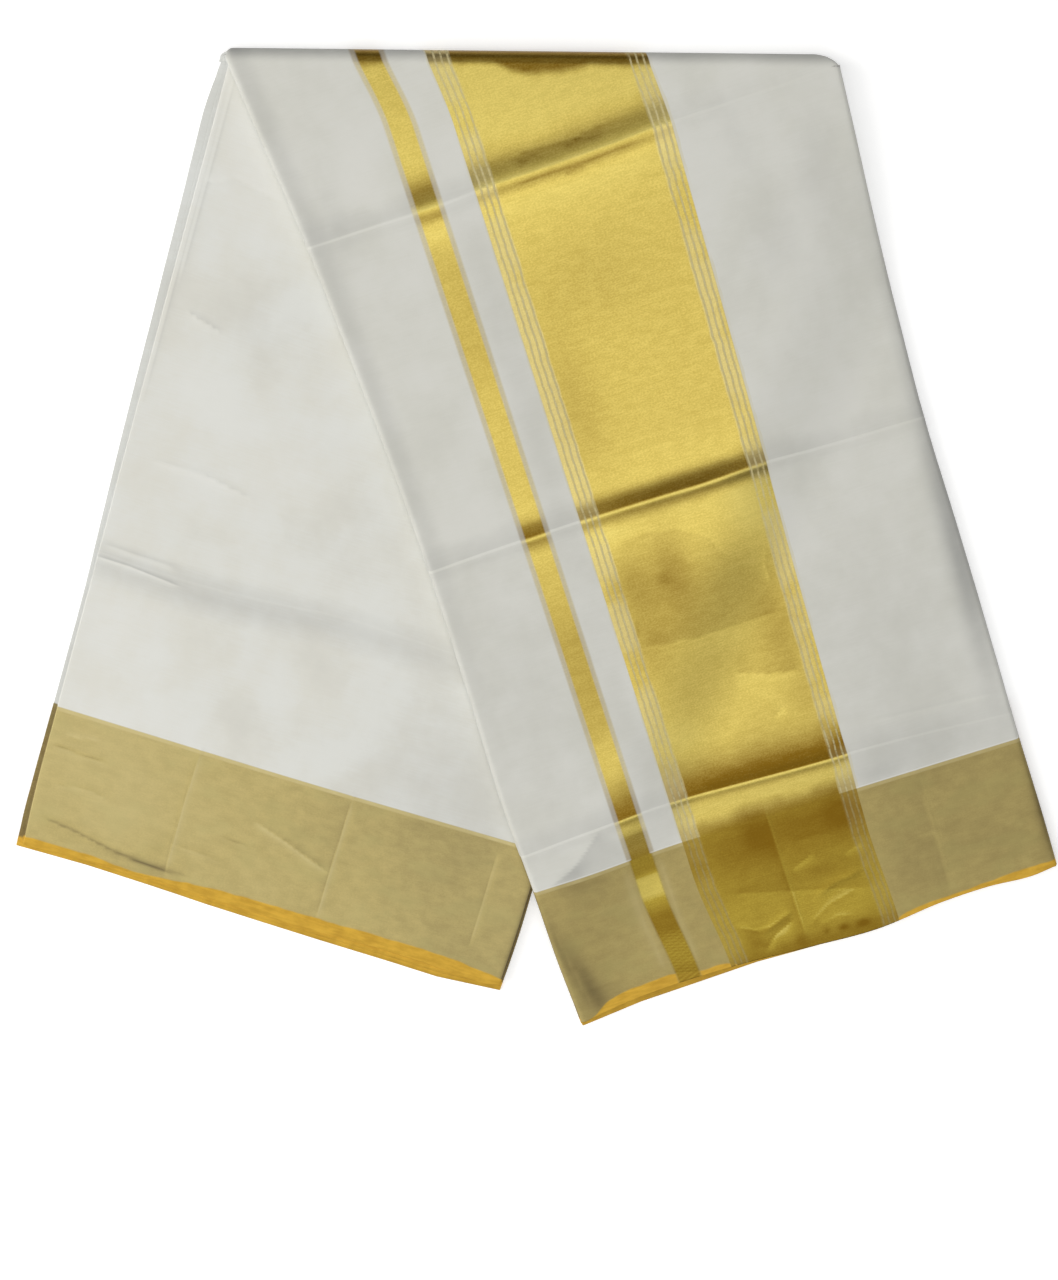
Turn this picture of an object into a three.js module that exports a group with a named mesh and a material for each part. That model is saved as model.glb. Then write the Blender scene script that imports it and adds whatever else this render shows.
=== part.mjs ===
import * as THREE from 'three';

// A kasavu saree, one uncut length of cotton, folded lengthwise into a pile as wide as one panel,
// then folded once across and laid flat. The two halves splay apart from the crest: the back leg
// goes down to the left, and the front leg lies over it and goes down to the right.
// Millimetres, +Z up. The crest runs along X, and the legs run towards -Y.
// On a leg, "across" is measured from its middle line and "along" from the middle of the crest.
// "Down" is the distance below the folded length's outer face, which is the top of the front leg
// and the underside of the back leg.

// The cloth and its pile
const plyWall = 1.2; // wall of the cloth that shows
const airGap = 0.3; // air between neighbouring solids
const pileHeight = 6; // hidden layers of one leg
const squeezedPile = 5.1; // hidden layers where they turn over the crest
const foldRadius = 3.2; // outer radius of the cloth round a long folded edge
const foldSkirt = 1.2; // how far the cloth hangs on below that radius
const edgeInset = 0.6; // how far the pile's inner face stops short of its edges
const crestInset = 0.5; // how much each side of the pile draws in where it turns over the crest

// How the legs lie
const legTurn = THREE.MathUtils.degToRad(18.3); // each leg from straight down
const tuckLength = 6; // how far the front cloth is tucked under the crest
const settleLength = 12; // run in which the squeezed pile relaxes beside the crest
const easeStart = 190; // from the back leg's middle line, where the front leg starts to come down
const easeRun = 70; // run in which it reaches the surface

// The pressed creases that cross the legs
const creaseFoot = 13; // long slope on the crest's side
const creaseHeel = 5; // short slope on the other side
const creaseClearance = 2; // least run between the relaxed pile and a crease

// Steps across the flat of a leg, and along it between creases
const flatSteps = 12;
const legSteps = 6;
const endRows = 4;

// Outer edges of the front leg, by the distance along it.
const frontEdges = [
  { along: -60, left: -178.5, right: 169.5 },
  { along: 0, left: -174.3, right: 169 },
  { along: 60, left: -169.9, right: 168 },
  { along: 130, left: -167.3, right: 167 },
  { along: 200, left: -165.4, right: 167.3 },
  { along: 280, left: -165, right: 168 },
  { along: 370, left: -167.2, right: 172.4 },
  { along: 450, left: -170.3, right: 175.6 },
  { along: 515, left: -169.7, right: 178 },
  { along: 570, left: -170, right: 180.8 },
  { along: 625, left: -168.8, right: 182.7 },
];

// Edges of the back leg's top cloth, and how far the folds below stand out past each of them.
const backEdges = [
  { along: 0, left: -173, right: 168, foldsLeft: 8, foldsRight: 1 },
  { along: 100, left: -172.3, right: 168, foldsLeft: 7.2, foldsRight: 1 },
  { along: 200, left: -172.2, right: 168, foldsLeft: 6.2, foldsRight: 1 },
  { along: 300, left: -172, right: 168, foldsLeft: 5, foldsRight: 1 },
  { along: 430, left: -171.3, right: 168, foldsLeft: 3.6, foldsRight: 1 },
  { along: 490, left: -171.2, right: 168, foldsLeft: 5.5, foldsRight: 1.5 },
  { along: 545, left: -171, right: 171, foldsLeft: 5.5, foldsRight: 2 },
  { along: 600, left: -169, right: 172.6, foldsLeft: 4.5, foldsRight: 2 },
];

// Lines that cross the front leg, by the distance across it: three creases, the end of the top
// cloth and the end of the layers below, which are shingled past it.
const frontLines = [
  { across: -165, crease1: 63.4, crease2: 277, crease3: 488, plyEnd: 618, pileEnd: 629 },
  { across: -120, crease1: 64, crease2: 275.5, crease3: 485, plyEnd: 610.5, pileEnd: 625.5 },
  { across: -85, crease1: 64.6, crease2: 275, crease3: 482, plyEnd: 609, pileEnd: 624 },
  { across: -50, crease1: 67, crease2: 276.6, crease3: 479.5, plyEnd: 611.5, pileEnd: 622 },
  { across: 0, crease1: 68, crease2: 276.6, crease3: 484, plyEnd: 616, pileEnd: 623 },
  { across: 50, crease1: 66.5, crease2: 279, crease3: 487.5, plyEnd: 618, pileEnd: 625 },
  { across: 100, crease1: 66, crease2: 280, crease3: 489.5, plyEnd: 614, pileEnd: 620.5 },
  { across: 140, crease1: 66, crease2: 281, crease3: 492, plyEnd: 613, pileEnd: 620 },
  { across: 180, crease1: 66, crease2: 282, crease3: 494.5, plyEnd: 611, pileEnd: 622 },
];

// The same for the back leg, which has one crease.
const backLines = [
  { across: -170, crease: 377, plyEnd: 585.5, pileEnd: 594.6 },
  { across: -145, crease: 378, plyEnd: 583, pileEnd: 594.8 },
  { across: -98, crease: 377.5, plyEnd: 578.5, pileEnd: 595.8 },
  { across: -55, crease: 374.5, plyEnd: 581, pileEnd: 597.6 },
  { across: -13, crease: 370, plyEnd: 582, pileEnd: 598.9 },
  { across: 31, crease: 370, plyEnd: 583, pileEnd: 600 },
  { across: 73, crease: 371, plyEnd: 580, pileEnd: 600.4 },
  { across: 117, crease: 371, plyEnd: 581, pileEnd: 600.9 },
  { across: 170, crease: 371, plyEnd: 584.5, pileEnd: 600 },
];

// Each crease: how high its ridge stands, and where across the leg it starts to fade and is gone.
const creases = {
  crease1: { rise: 1.2, fadeFrom: 60, fadeTo: 115 },
  crease2: { rise: 1.8, fadeFrom: 200, fadeTo: 300 },
  crease3: { rise: 2, fadeFrom: 200, fadeTo: 300 },
  crease: { rise: 1, fadeFrom: -80, fadeTo: 40 },
};

// Shingled selvedges: each step's share of the way from the top cloth's end to the pile's end, and
// the share of the pile's height that is left after it.
const endSteps = [
  { reach: 0.2, left: 0.74 },
  { reach: 0.5, left: 0.48 },
  { reach: 0.78, left: 0.24 },
];
const riserRun = 0.4;

// Layered long sides of the pile, from its outer face to its inner one. On the back leg "out" is a
// share of how far the folds stand out, and on the front leg it is the distance past the edge.
const backSide = [
  { down: 0.4, out: 1 },
  { down: 1.9, out: 1 },
  { down: 2.1, out: 0.6 },
  { down: 3.8, out: 0.6 },
  { down: 4, out: 0.2 },
  { down: 5.5, out: 0.2 },
];
const frontSide = [
  { down: 3.7, out: -1.5 },
  { down: 4, out: 0 },
  { down: 4.6, out: 0 },
  { down: 4.8, out: 0.8 },
  { down: 5.3, out: 0.8 },
  { down: 5.6, out: 0.4 },
];

// The back leg's top cloth rounds down at its two edges.
const backRound = [
  { inset: 0, drop: 0.8 },
  { inset: 0.9, drop: 0.2 },
  { inset: 2.5, drop: 0 },
];

// Colours
const cottonWhite = 0xd6d5cb;
const warmCotton = 0xe3e2d8;
const selvedgeGold = 0xd2a85a;
const clothRoughness = 0.85;

// Heights and radii that follow from these sizes
const skinDepth = plyWall + airGap;
const legHeight = pileHeight + skinDepth;
const frontLift = legHeight + airGap; // underside of the front leg, over the back leg
const crestRadius = (frontLift + legHeight) / 2;
const crestEnd = -crestRadius; // y where the turn over the crest ends
const settledEnd = crestEnd - settleLength;
const tuckEnd = crestEnd - tuckLength;
const sine = Math.sin(legTurn);
const cosine = Math.cos(legTurn);
const quarterTurn = Math.PI / 2;
const fullUnrolled = foldRadius * quarterTurn + foldSkirt; // cloth in one side fold, laid out flat

const { clamp, lerp, smoothstep } = THREE.MathUtils;

function readTable(rows, key, at, column) {
  const next = rows.findIndex((row) => row[key] > at);
  if (next === 0) return rows[0][column];
  if (next < 0) return rows[rows.length - 1][column];
  const low = rows[next - 1];
  const high = rows[next];
  return lerp(low[column], high[column], (at - low[key]) / (high[key] - low[key]));
}

// Columns run across the cloth: up round the left fold, over the flat, down round the right fold.
const foldTurns = [
  { turn: quarterTurn, skirt: foldSkirt },
  { turn: quarterTurn, skirt: 0 },
  { turn: (quarterTurn * 2) / 3, skirt: 0 },
  { turn: quarterTurn / 3, skirt: 0 },
];
const leftFold = foldTurns.map((bend) => ({ side: -1, share: 0, ...bend }));
const rightFold = foldTurns.map((bend) => ({ side: 1, share: 1, ...bend })).reverse();
const flat = [];
for (let step = 0; step <= flatSteps; step += 1) {
  flat.push({ side: 0, share: step / flatSteps, turn: 0, skirt: 0 });
}
const columns = [...leftFold, ...flat, ...rightFold];

// Where a column is on cloth with these edges, at a depth below its outer face. With curl 1 the
// folds at the edges turn down, and with curl 0 they lie flat.
function section(column, edges, depth, curl) {
  const centre = lerp(edges.left + foldRadius, edges.right - foldRadius, column.share);
  const bend = curl * column.turn;
  const turned = (foldRadius - depth) * Math.sin(bend);
  const unrolled = (1 - curl) * (foldRadius * column.turn + column.skirt);
  const drop = (foldRadius - depth) * (1 - Math.cos(bend)) + curl * column.skirt;
  return { across: centre + column.side * (turned + unrolled), down: depth + drop };
}

// The front leg leans one way (+1) and the back leg the other (-1).
const frontLean = 1;
const backLean = -1;

function toPlan(lean, across, along) {
  return { x: across * cosine + lean * along * sine, y: lean * across * sine - along * cosine };
}

// A line across a leg parallel to the crest, as a distance along the leg.
function crestLine(lean, y) {
  return (across) => (lean * across * sine - y) / cosine;
}

// A line from one of the tables, moved along by an offset and kept clear of the crest.
function tableLine(lean, rows, column, offset = 0) {
  const nearest = crestLine(lean, settledEnd);
  const standOff = creaseFoot + offset + creaseClearance;
  return (across) => {
    const along = readTable(rows, 'across', across, column) + offset;
    return Math.max(along, nearest(across) + standOff);
  };
}

// A line a share of the way from one line to another.
function lineBetween(start, end, share) {
  return (across) => lerp(start(across), end(across), share);
}

// Rows run along a leg from guide to guide. A guide has its line, the number of rows to the next
// guide, and the crease whose ridge it carries.
function makeRows(guides) {
  return guides.flatMap((guide, index) => {
    const { line, steps = 1, crease } = guide;
    const next = guides[index + 1] || guide;
    const rows = [{ line, crease }];
    for (let step = 1; step < steps; step += 1) {
      rows.push({ line: lineBetween(line, next.line, step / steps) });
    }
    return rows;
  });
}

function creaseGuides(lean, rows, column, steps) {
  return [
    { line: tableLine(lean, rows, column, -creaseFoot) },
    { line: tableLine(lean, rows, column), crease: creases[column] },
    { line: tableLine(lean, rows, column, creaseHeel), steps },
  ];
}

const frontRows = makeRows([
  { line: crestLine(frontLean, crestEnd) },
  { line: crestLine(frontLean, settledEnd) },
  ...creaseGuides(frontLean, frontLines, 'crease1', legSteps),
  ...creaseGuides(frontLean, frontLines, 'crease2', legSteps),
  ...creaseGuides(frontLean, frontLines, 'crease3', endRows),
  { line: tableLine(frontLean, frontLines, 'plyEnd') },
]);

const backRows = makeRows([
  { line: crestLine(backLean, crestEnd - airGap) },
  { line: crestLine(backLean, settledEnd), steps: legSteps },
  ...creaseGuides(backLean, backLines, 'crease', endRows),
  { line: tableLine(backLean, backLines, 'plyEnd') },
]);

function ridgeRise(crease, across) {
  if (!crease) return 0;
  return crease.rise * (1 - smoothstep(across, crease.fadeFrom, crease.fadeTo));
}

// Height of the front leg's underside: on the back leg, then down to the surface beside it.
function frontUnderside(x, y) {
  const fromBackMiddle = x * cosine - y * sine;
  return frontLift * (1 - smoothstep(fromBackMiddle, easeStart, easeStart + easeRun));
}

// How far the squeezed pile has relaxed: 0 at the crest and 1 when it has settled.
function relaxed(y) {
  return clamp((crestEnd - y) / settleLength, 0, 1);
}

function backPileTop(y) {
  return lerp(skinDepth + squeezedPile, pileHeight, relaxed(y));
}

function mixEdges(first, second, share) {
  const edges = {};
  Object.keys(second).forEach((name) => {
    edges[name] = lerp(first[name] || 0, second[name], share);
  });
  return edges;
}

function tableEdges(table, along) {
  const edges = {};
  Object.keys(table[0]).forEach((name) => {
    edges[name] = readTable(table, 'along', along, name);
  });
  return edges;
}

// A column's distance along the front leg on a row, and the leg's edges there.
function frontPlace(column, line) {
  let along = line(lerp(frontEdges[0].left, frontEdges[0].right, column.share));
  let edges = tableEdges(frontEdges, along);
  along = line(section(column, edges, 0, 1).across);
  edges = tableEdges(frontEdges, along);
  return { along, edges };
}

// The cloth's edges where it turns over the crest.
function crestEdges(column) {
  return frontPlace(column, crestLine(frontLean, crestEnd)).edges;
}

function backPlaceEdges(column, line) {
  const along = line(lerp(backEdges[0].left, backEdges[0].right, column.share));
  const { y } = toPlan(backLean, 0, along);
  return mixEdges(crestEdges(column), tableEdges(backEdges, along), relaxed(y));
}

// Stations along the folded length. Each gives the cloth's edges for a column, how far the folds at
// its sides curl, how much its sides are the front leg's, and where a distance across and a distance
// down put a point.
function frontStation(row) {
  return {
    curl: 1,
    frontShare: 1,
    edgesFor: (column) => frontPlace(column, row.line).edges,
    put: (column, across, down) => {
      const plan = toPlan(frontLean, across, frontPlace(column, row.line).along);
      const top = frontUnderside(plan.x, plan.y) + legHeight;
      return new THREE.Vector3(plan.x, plan.y, top - down);
    },
  };
}

function crestStation(turn) {
  const angle = turn * quarterTurn;
  const curl = smoothstep(turn, -1, 0);
  return {
    curl,
    frontShare: curl,
    edgesFor: crestEdges,
    put: (column, across, down) => {
      const x = (across + crestRadius * sine * turn) / cosine;
      const radius = crestRadius - down;
      const y = crestEnd + radius * Math.cos(angle);
      return new THREE.Vector3(x, y, crestRadius + radius * Math.sin(angle));
    },
  };
}

function backStation(line, edgesFor) {
  return {
    curl: 0,
    frontShare: 0,
    edgesFor,
    put: (column, across, down) => {
      const plan = toPlan(backLean, across, line(across));
      return new THREE.Vector3(plan.x, plan.y, down);
    },
  };
}

const crestStations = [-0.85, -0.7, -0.55, -0.4, -0.2, 0, 0.25, 0.5, 0.75].map(crestStation);

// One closed solid through a list of rings with equal numbers of points. A ring's second half runs
// back over its first half, so each end is closed between the two, and the quads of both halves are
// split the same way, which keeps cloth and pile parallel. Faces are turned to point outwards.
function loft(name, rings, color) {
  const size = rings[0].length;
  const points = rings.flat();
  const triangles = [];
  for (let start = 0; start + size < points.length; start += size) {
    for (let step = 0; step < size; step += 1) {
      const a = start + step;
      const b = start + ((step + 1) % size);
      if (step < size / 2) triangles.push([a, b, b + size], [a, b + size, a + size]);
      else triangles.push([a, b, a + size], [b, b + size, a + size]);
    }
  }
  const lastStart = points.length - size;
  for (let step = 0; step + 1 < size / 2; step += 1) {
    const opposite = size - 1 - step;
    triangles.push([step, opposite, opposite - 1], [step, opposite - 1, step + 1]);
    const last = lastStart + step;
    const lastOpposite = lastStart + opposite;
    triangles.push([last, lastOpposite - 1, lastOpposite], [last, last + 1, lastOpposite - 1]);
  }

  let volume = 0;
  triangles.forEach(([a, b, c]) => {
    volume += points[a].dot(new THREE.Vector3().crossVectors(points[b], points[c]));
  });
  const outward = triangles.map(([a, b, c]) => (volume > 0 ? [a, b, c] : [a, c, b]));

  const geometry = new THREE.BufferGeometry().setFromPoints(points);
  geometry.setIndex(outward.flat());
  geometry.computeVertexNormals();
  const material = new THREE.MeshStandardMaterial({ color, roughness: clothRoughness, metalness: 0 });
  const mesh = new THREE.Mesh(geometry, material);
  mesh.name = name;
  return mesh;
}

// The front leg's top cloth: tucked under the crest, over it, and down to its selvedge.
function frontFall() {
  const tucks = [tuckEnd, crestEnd].map((y) => backStation(crestLine(backLean, y), crestEdges));
  const legs = frontRows.map((row) => ({ ...frontStation(row), crease: row.crease }));
  const rings = [...tucks, ...crestStations, ...legs].map((station) => {
    const face = (depth) => columns.map((column) => {
      const { across, down } = section(column, station.edgesFor(column), depth, station.curl);
      return station.put(column, across, down - ridgeRise(station.crease, across));
    });
    return [...face(0), ...face(plyWall).reverse()];
  });
  return loft('front_fall', rings, cottonWhite);
}

// The back leg's top cloth, from inside the fold down to its selvedge.
function backFall() {
  const span = backRound.map(({ inset, drop }) => ({ share: 0, inset, drop }));
  const { inset: flatInset } = backRound[backRound.length - 1];
  for (let step = 1; step < flatSteps; step += 1) {
    const share = step / flatSteps;
    span.push({ share, inset: flatInset * (1 - 2 * share), drop: 0 });
  }
  [...backRound].reverse().forEach(({ inset, drop }) => span.push({ share: 1, inset: -inset, drop }));

  const rings = backRows.map((row) => {
    const face = (isTop) => span.map(({ share, inset, drop }) => {
      const { left, right } = backPlaceEdges({ side: 0, share, turn: 0, skirt: 0 }, row.line);
      const across = lerp(left, right, share) + inset;
      const plan = toPlan(backLean, across, row.line(across));
      const under = backPileTop(plan.y) + airGap + ridgeRise(row.crease, across);
      return new THREE.Vector3(plan.x, plan.y, isTop ? under + plyWall - drop : under);
    });
    return [...face(true), ...face(false).reverse()];
  });
  return loft('back_fall', rings, warmCotton);
}

// The stations where the shingled layers end, one pair for each step's riser.
function endStations(plyLine, pileLine, makeStation) {
  const stations = endSteps.flatMap(({ reach, left }, index) => {
    const before = index === 0 ? 1 : endSteps[index - 1].left;
    const line = lineBetween(plyLine, pileLine, reach);
    const riserEnd = (across) => line(across) + riserRun;
    return [makeStation(line, before), makeStation(riserEnd, left)];
  });
  const last = endSteps[endSteps.length - 1].left;
  return [...stations, makeStation(pileLine, last)];
}

// All the hidden layers as one pile: up the back leg, over the crest inside the front cloth, and
// down the front leg. Its long sides are layered, and its selvedge ends are shingled.
function innerFolds() {
  // On the back leg the outer face is the underside, which the tucked cloth lifts at the crest.
  const backPile = (line, left = 1) => {
    const { y } = toPlan(backLean, 0, line(0));
    const overTuck = y > tuckEnd - 2 * airGap;
    const start = overTuck ? skinDepth : 0;
    const height = (backPileTop(y) - start) * left;
    return { ...backStation(line, (column) => backPlaceEdges(column, line)), start, height };
  };
  const frontPile = (line, left = 1) => {
    const { y } = toPlan(frontLean, 0, line(0));
    const start = skinDepth + pileHeight * (1 - left);
    const height = lerp(squeezedPile, pileHeight, relaxed(y)) * left;
    return { ...frontStation({ line }), start, height };
  };

  const backLeg = [
    crestLine(backLean, crestEnd),
    crestLine(backLean, tuckEnd - airGap),
    crestLine(backLean, tuckEnd - skinDepth),
    ...backRows.slice(1).map((row) => row.line),
  ].map((line) => backPile(line));
  const backEnd = endStations(
    tableLine(backLean, backLines, 'plyEnd'),
    tableLine(backLean, backLines, 'pileEnd'),
    backPile,
  );
  const turn = crestStations.map((station) => {
    const edgesFor = (column) => {
      const { left, right } = station.edgesFor(column);
      return { left: left + crestInset, right: right - crestInset };
    };
    return { ...station, edgesFor, start: skinDepth, height: squeezedPile };
  });
  const frontLeg = frontRows.map((row) => frontPile(row.line));
  const frontEnd = endStations(
    tableLine(frontLean, frontLines, 'plyEnd'),
    tableLine(frontLean, frontLines, 'pileEnd'),
    frontPile,
  );
  const stations = [...[...backLeg, ...backEnd].reverse(), ...turn, ...frontLeg, ...frontEnd];

  const rings = stations.map((station) => {
    const { edgesFor, curl, frontShare } = station;
    const put = (column, across, inPile) => {
      const down = station.start + (inPile / pileHeight) * station.height;
      return station.put(column, across, down);
    };
    const outer = columns.map((column) => {
      const { across, down } = section(column, edgesFor(column), skinDepth, curl);
      return put(column, across, down - skinDepth);
    });
    const sideLayers = (column) => {
      const edges = edgesFor(column);
      const isLeft = column.side < 0;
      const folds = (isLeft ? edges.foldsLeft : edges.foldsRight) || 0;
      return backSide.map((layer, index) => {
        const out = lerp(layer.out * folds, frontSide[index].out, frontShare);
        const across = isLeft ? edges.left - out : edges.right + out;
        return put(column, across, lerp(layer.down, frontSide[index].down, frontShare));
      });
    };
    const inner = columns.map((column) => {
      const { left, right } = edgesFor(column);
      const centre = lerp(left + foldRadius, right - foldRadius, column.share);
      const unrolled = foldRadius * column.turn + column.skirt;
      const reach = (foldRadius - edgeInset) * (unrolled / fullUnrolled);
      return put(column, centre + column.side * reach, pileHeight);
    });
    const leftLayers = sideLayers(leftFold[0]);
    const rightLayers = sideLayers(rightFold[rightFold.length - 1]);
    const half = leftLayers.length / 2;
    return [
      ...leftLayers.slice(0, half).reverse(),
      ...outer,
      ...rightLayers,
      ...inner.reverse(),
      ...leftLayers.slice(half).reverse(),
    ];
  });
  return loft('inner_folds', rings, selvedgeGold);
}

const saree = new THREE.Group();
saree.add(frontFall(), backFall(), innerFolds());

// The origin is under the middle of the whole, on the surface that it lies on.
const bounds = new THREE.Box3().setFromObject(saree);
const middle = bounds.getCenter(new THREE.Vector3());
saree.position.set(-middle.x, -middle.y, -bounds.min.z);

export default saree;
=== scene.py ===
import math
from functools import partial

import bpy
import numpy as np
from mathutils import Matrix, Vector


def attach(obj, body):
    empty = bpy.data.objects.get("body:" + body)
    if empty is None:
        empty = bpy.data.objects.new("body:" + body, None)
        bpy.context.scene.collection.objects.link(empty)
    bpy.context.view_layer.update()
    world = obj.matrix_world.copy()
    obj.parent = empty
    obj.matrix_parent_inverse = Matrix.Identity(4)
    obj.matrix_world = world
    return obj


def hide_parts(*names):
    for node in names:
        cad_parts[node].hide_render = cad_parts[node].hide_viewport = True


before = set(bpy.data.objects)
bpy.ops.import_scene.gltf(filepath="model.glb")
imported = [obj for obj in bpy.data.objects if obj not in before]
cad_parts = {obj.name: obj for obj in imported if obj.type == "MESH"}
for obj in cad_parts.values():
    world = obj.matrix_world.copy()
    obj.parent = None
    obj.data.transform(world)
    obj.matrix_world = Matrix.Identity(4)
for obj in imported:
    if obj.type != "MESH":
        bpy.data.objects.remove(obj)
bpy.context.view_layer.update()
print("frame loaded")


# camera, in metres and radians
view = {
    "place": (-0.04336, 0.22602, 0.9604),
    "pitch": 0.270545,
    "yaw": 0.031145,
    "roll": 0.00101,
    "lens": 42.1875,
    "sensor": 36.0,
    "nearest": 0.01,
}


def makeCamera():
    data = bpy.data.cameras.new("camera")
    data.lens = view["lens"]
    data.sensor_width = view["sensor"]
    data.clip_start = view["nearest"]
    camera = bpy.data.objects.new("camera", data)
    turn = (
        Matrix.Rotation(-view["pitch"], 4, "X")
        @ Matrix.Rotation(-view["yaw"], 4, "Y")
        @ Matrix.Rotation(-view["roll"], 4, "Z")
    )
    camera.matrix_world = Matrix.Translation(view["place"]) @ turn
    bpy.context.scene.collection.objects.link(camera)
    bpy.context.scene.camera = camera


makeCamera()

# How the cloth is folded, in millimetres from the middle of the crest.
# On a leg, across is measured from its middle line and along from the crest.
# Down is the depth below the folded length's outer face.
fold = {
    "turn": math.radians(18.3),
    "halfWidth": 172.0,
    "skin": 1.5,
    "pile": 6.0,
    "squeezed": 5.1,
    "lift": 7.8,
    "crestRadius": 7.65,
    "settle": 12.0,
    "tuck": 6.0,
    "tuckGap": 0.6,
    "cornerLeft": 2.5,
    "cornerRight": 11.0,
    "cornerStep": 2.6,
    "cornerDepth": 9.0,
    "looseHang": 0.1,
    "fitRounds": 3,
    "easeStart": 190.0,
    "easeRun": 70.0,
    "shift": (-8.86, 325.221, 0.0),
}
sine, cosine = math.sin(fold["turn"]), math.cos(fold["turn"])
legHeight = fold["pile"] + fold["skin"]
crestEnd = -fold["crestRadius"]
settledEnd = crestEnd - fold["settle"]
quarter = math.pi / 2
frontLean, backLean = 1.0, -1.0


def mix(start, end, share):
    return start + (end - start) * share


def smooth(value, start, end):
    share = np.clip((value - start) / (end - start), 0, 1)
    return share * share * (3 - 2 * share)


# a smooth curve through pairs of numbers, level past both ends
def curveThrough(rows):
    places, values = np.array(rows, float).T
    slopes = np.gradient(values, places)

    def read(place):
        place = np.clip(place, places[0], places[-1])
        low = np.clip(np.searchsorted(places, place) - 1, 0, len(places) - 2)
        span = places[low + 1] - places[low]
        t = (place - places[low]) / span
        start = values[low] * (1 + 2 * t) * (1 - t) ** 2 + slopes[low] * span * t * (1 - t) ** 2
        end = values[low + 1] * t * t * (3 - 2 * t) - slopes[low + 1] * span * t * t * (1 - t)
        return start + end

    return read


# how far the two ends of the crest are drawn in, at a turn round it from back to front
def crestInsets(turn):
    depth = fold["crestRadius"] * (1 - math.cos(turn * quarter))
    rounding = 1 - math.sqrt(1 - (1 - min(depth / fold["cornerDepth"], 1.0)) ** 2)
    step = fold["cornerStep"] * (1 - float(smooth(turn, -1, 0)))
    return max(rounding * fold["cornerLeft"], step), rounding * fold["cornerRight"]


def toPlan(lean, across, along):
    return across * cosine + lean * along * sine, lean * across * sine - along * cosine


def crestAlong(lean, y):
    return lambda across: (lean * across * sine - y) / cosine


def frontUnderside(x, y):
    fromBackMiddle = x * cosine - y * sine
    ease = smooth(fromBackMiddle, fold["easeStart"], fold["easeStart"] + fold["easeRun"])
    return fold["lift"] * (1 - ease)


def relaxed(y):
    return np.clip((crestEnd - y) / fold["settle"], 0, 1)


def backPileTop(y):
    return mix(fold["skin"] + fold["squeezed"], fold["pile"], relaxed(y))


# height of straight runs between knots (distance, height, softness of the bend)
def softHinges(distance, knots):
    places, heights, softness = np.array(knots, float).T
    slopes = np.diff(heights) / np.diff(places)
    changes = np.diff(np.concatenate([[0], slopes, [0]]))
    total = np.zeros_like(distance)
    for place, change, soft in zip(places, changes, softness):
        total += change * soft * np.logaddexp(0, (distance - place) / soft)
    return total


# distance to a bent line, the side of it (above 0 past it) and how far from its ends
def nearPath(across, along, path):
    path = np.array(path, float)
    nearest = np.full(across.shape, 1e9)
    side, fade = np.zeros_like(across), np.zeros_like(across)
    lengths = np.hypot(*np.diff(path, axis=0).T)
    reached = 0.0
    for start, end, length in zip(path[:-1], path[1:], lengths):
        run = (end - start) / length
        du, dv = across - start[0], along - start[1]
        t = np.clip(du * run[0] + dv * run[1], 0, length)
        gap = np.hypot(du - run[0] * t, dv - run[1] * t)
        share = (reached + t) / lengths.sum()
        closer = gap < nearest
        fade = np.where(closer, np.minimum(share, 1 - share), fade)
        side = np.where(closer, run[0] * dv - run[1] * du, side)
        nearest = np.where(closer, gap, nearest)
        reached += length
    return nearest, np.sign(side), fade


# how lines of relief and shade fade: at their ends, across a ledge, and away from a crease
relief = {"blunt": -0.02, "ledgeFade": 0.15, "ledgeSoft": 0.7, "steadyFrom": -2, "finestShare": 0.4}


# small creases along bent lines
def wrinkleHeight(across, along, rows):
    total = np.zeros_like(across)
    for path, height, width, fades in rows:
        gap, _, fade = nearPath(across, along, path)
        total += height * np.exp(-gap / width) * smooth(fade, relief["blunt"], fades)
    return total


# ledges of painted shade and highlight: one tone before a bent line and another past it
def ledgeTone(across, along, rows):
    total = np.zeros_like(across)
    for path, reach, before, after in rows:
        gap, side, fade = nearPath(across, along, path)
        tone = mix(before, after, smooth(gap * side, -relief["ledgeSoft"], relief["ledgeSoft"]))
        total += tone * np.exp(-gap / reach) * smooth(fade, relief["blunt"], relief["ledgeFade"])
    return total


# a fixed, uneven run of numbers from -1 to 1, as waves: share, length, start and shift
waves = [(0.5, 9.1, 0, 1), (0.3, 4.3, 1.3, 2), (0.2, 2.2, 4, 3)]


def ripple(place, start=0.0):
    return sum(
        share * np.sin(place / length + begin + start * shift) for share, length, begin, shift in waves
    )


# straight runs between the rows of a table
def straightThrough(rows, place):
    return np.interp(place, *np.array(rows, float).T)


# painted shade (above 0) or painted highlight (below 0) on the cloth beside a crease
def creaseTone(distance, across, knots, strength, uneven):
    stretch = 1 + uneven * ripple(across) * (distance < relief["steadyFrom"])
    return straightThrough(knots, distance / stretch) * curveThrough(strength)(across)


# soft swells and hollows of the relief, and clouds of painted shade and highlight: round or long patches
def swellHeight(across, along, rows):
    total = np.zeros_like(across)
    for middleAcross, middleAlong, wide, long, height, *turned in rows:
        angle = math.radians(sum(turned))
        du, dv = across - middleAcross, along - middleAlong
        first = du * math.cos(angle) + dv * math.sin(angle)
        second = dv * math.cos(angle) - du * math.sin(angle)
        total += height * np.exp(-((first / wide) ** 2) - (second / long) ** 2)
    return total


# steps from start to end, fine beside the places and coarse between them
def ladder(start, end, coarse, fine, places, reach):
    marks = [start]
    while marks[-1] < end:
        gap = min(abs(marks[-1] - place) for place in places)
        ease = float(smooth(gap, reach * relief["finestShare"], reach))
        marks.append(marks[-1] + mix(fine, coarse, ease))
    marks = np.array(marks)
    return start + (marks - start) * (end - start) / (marks[-1] - start)


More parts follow.
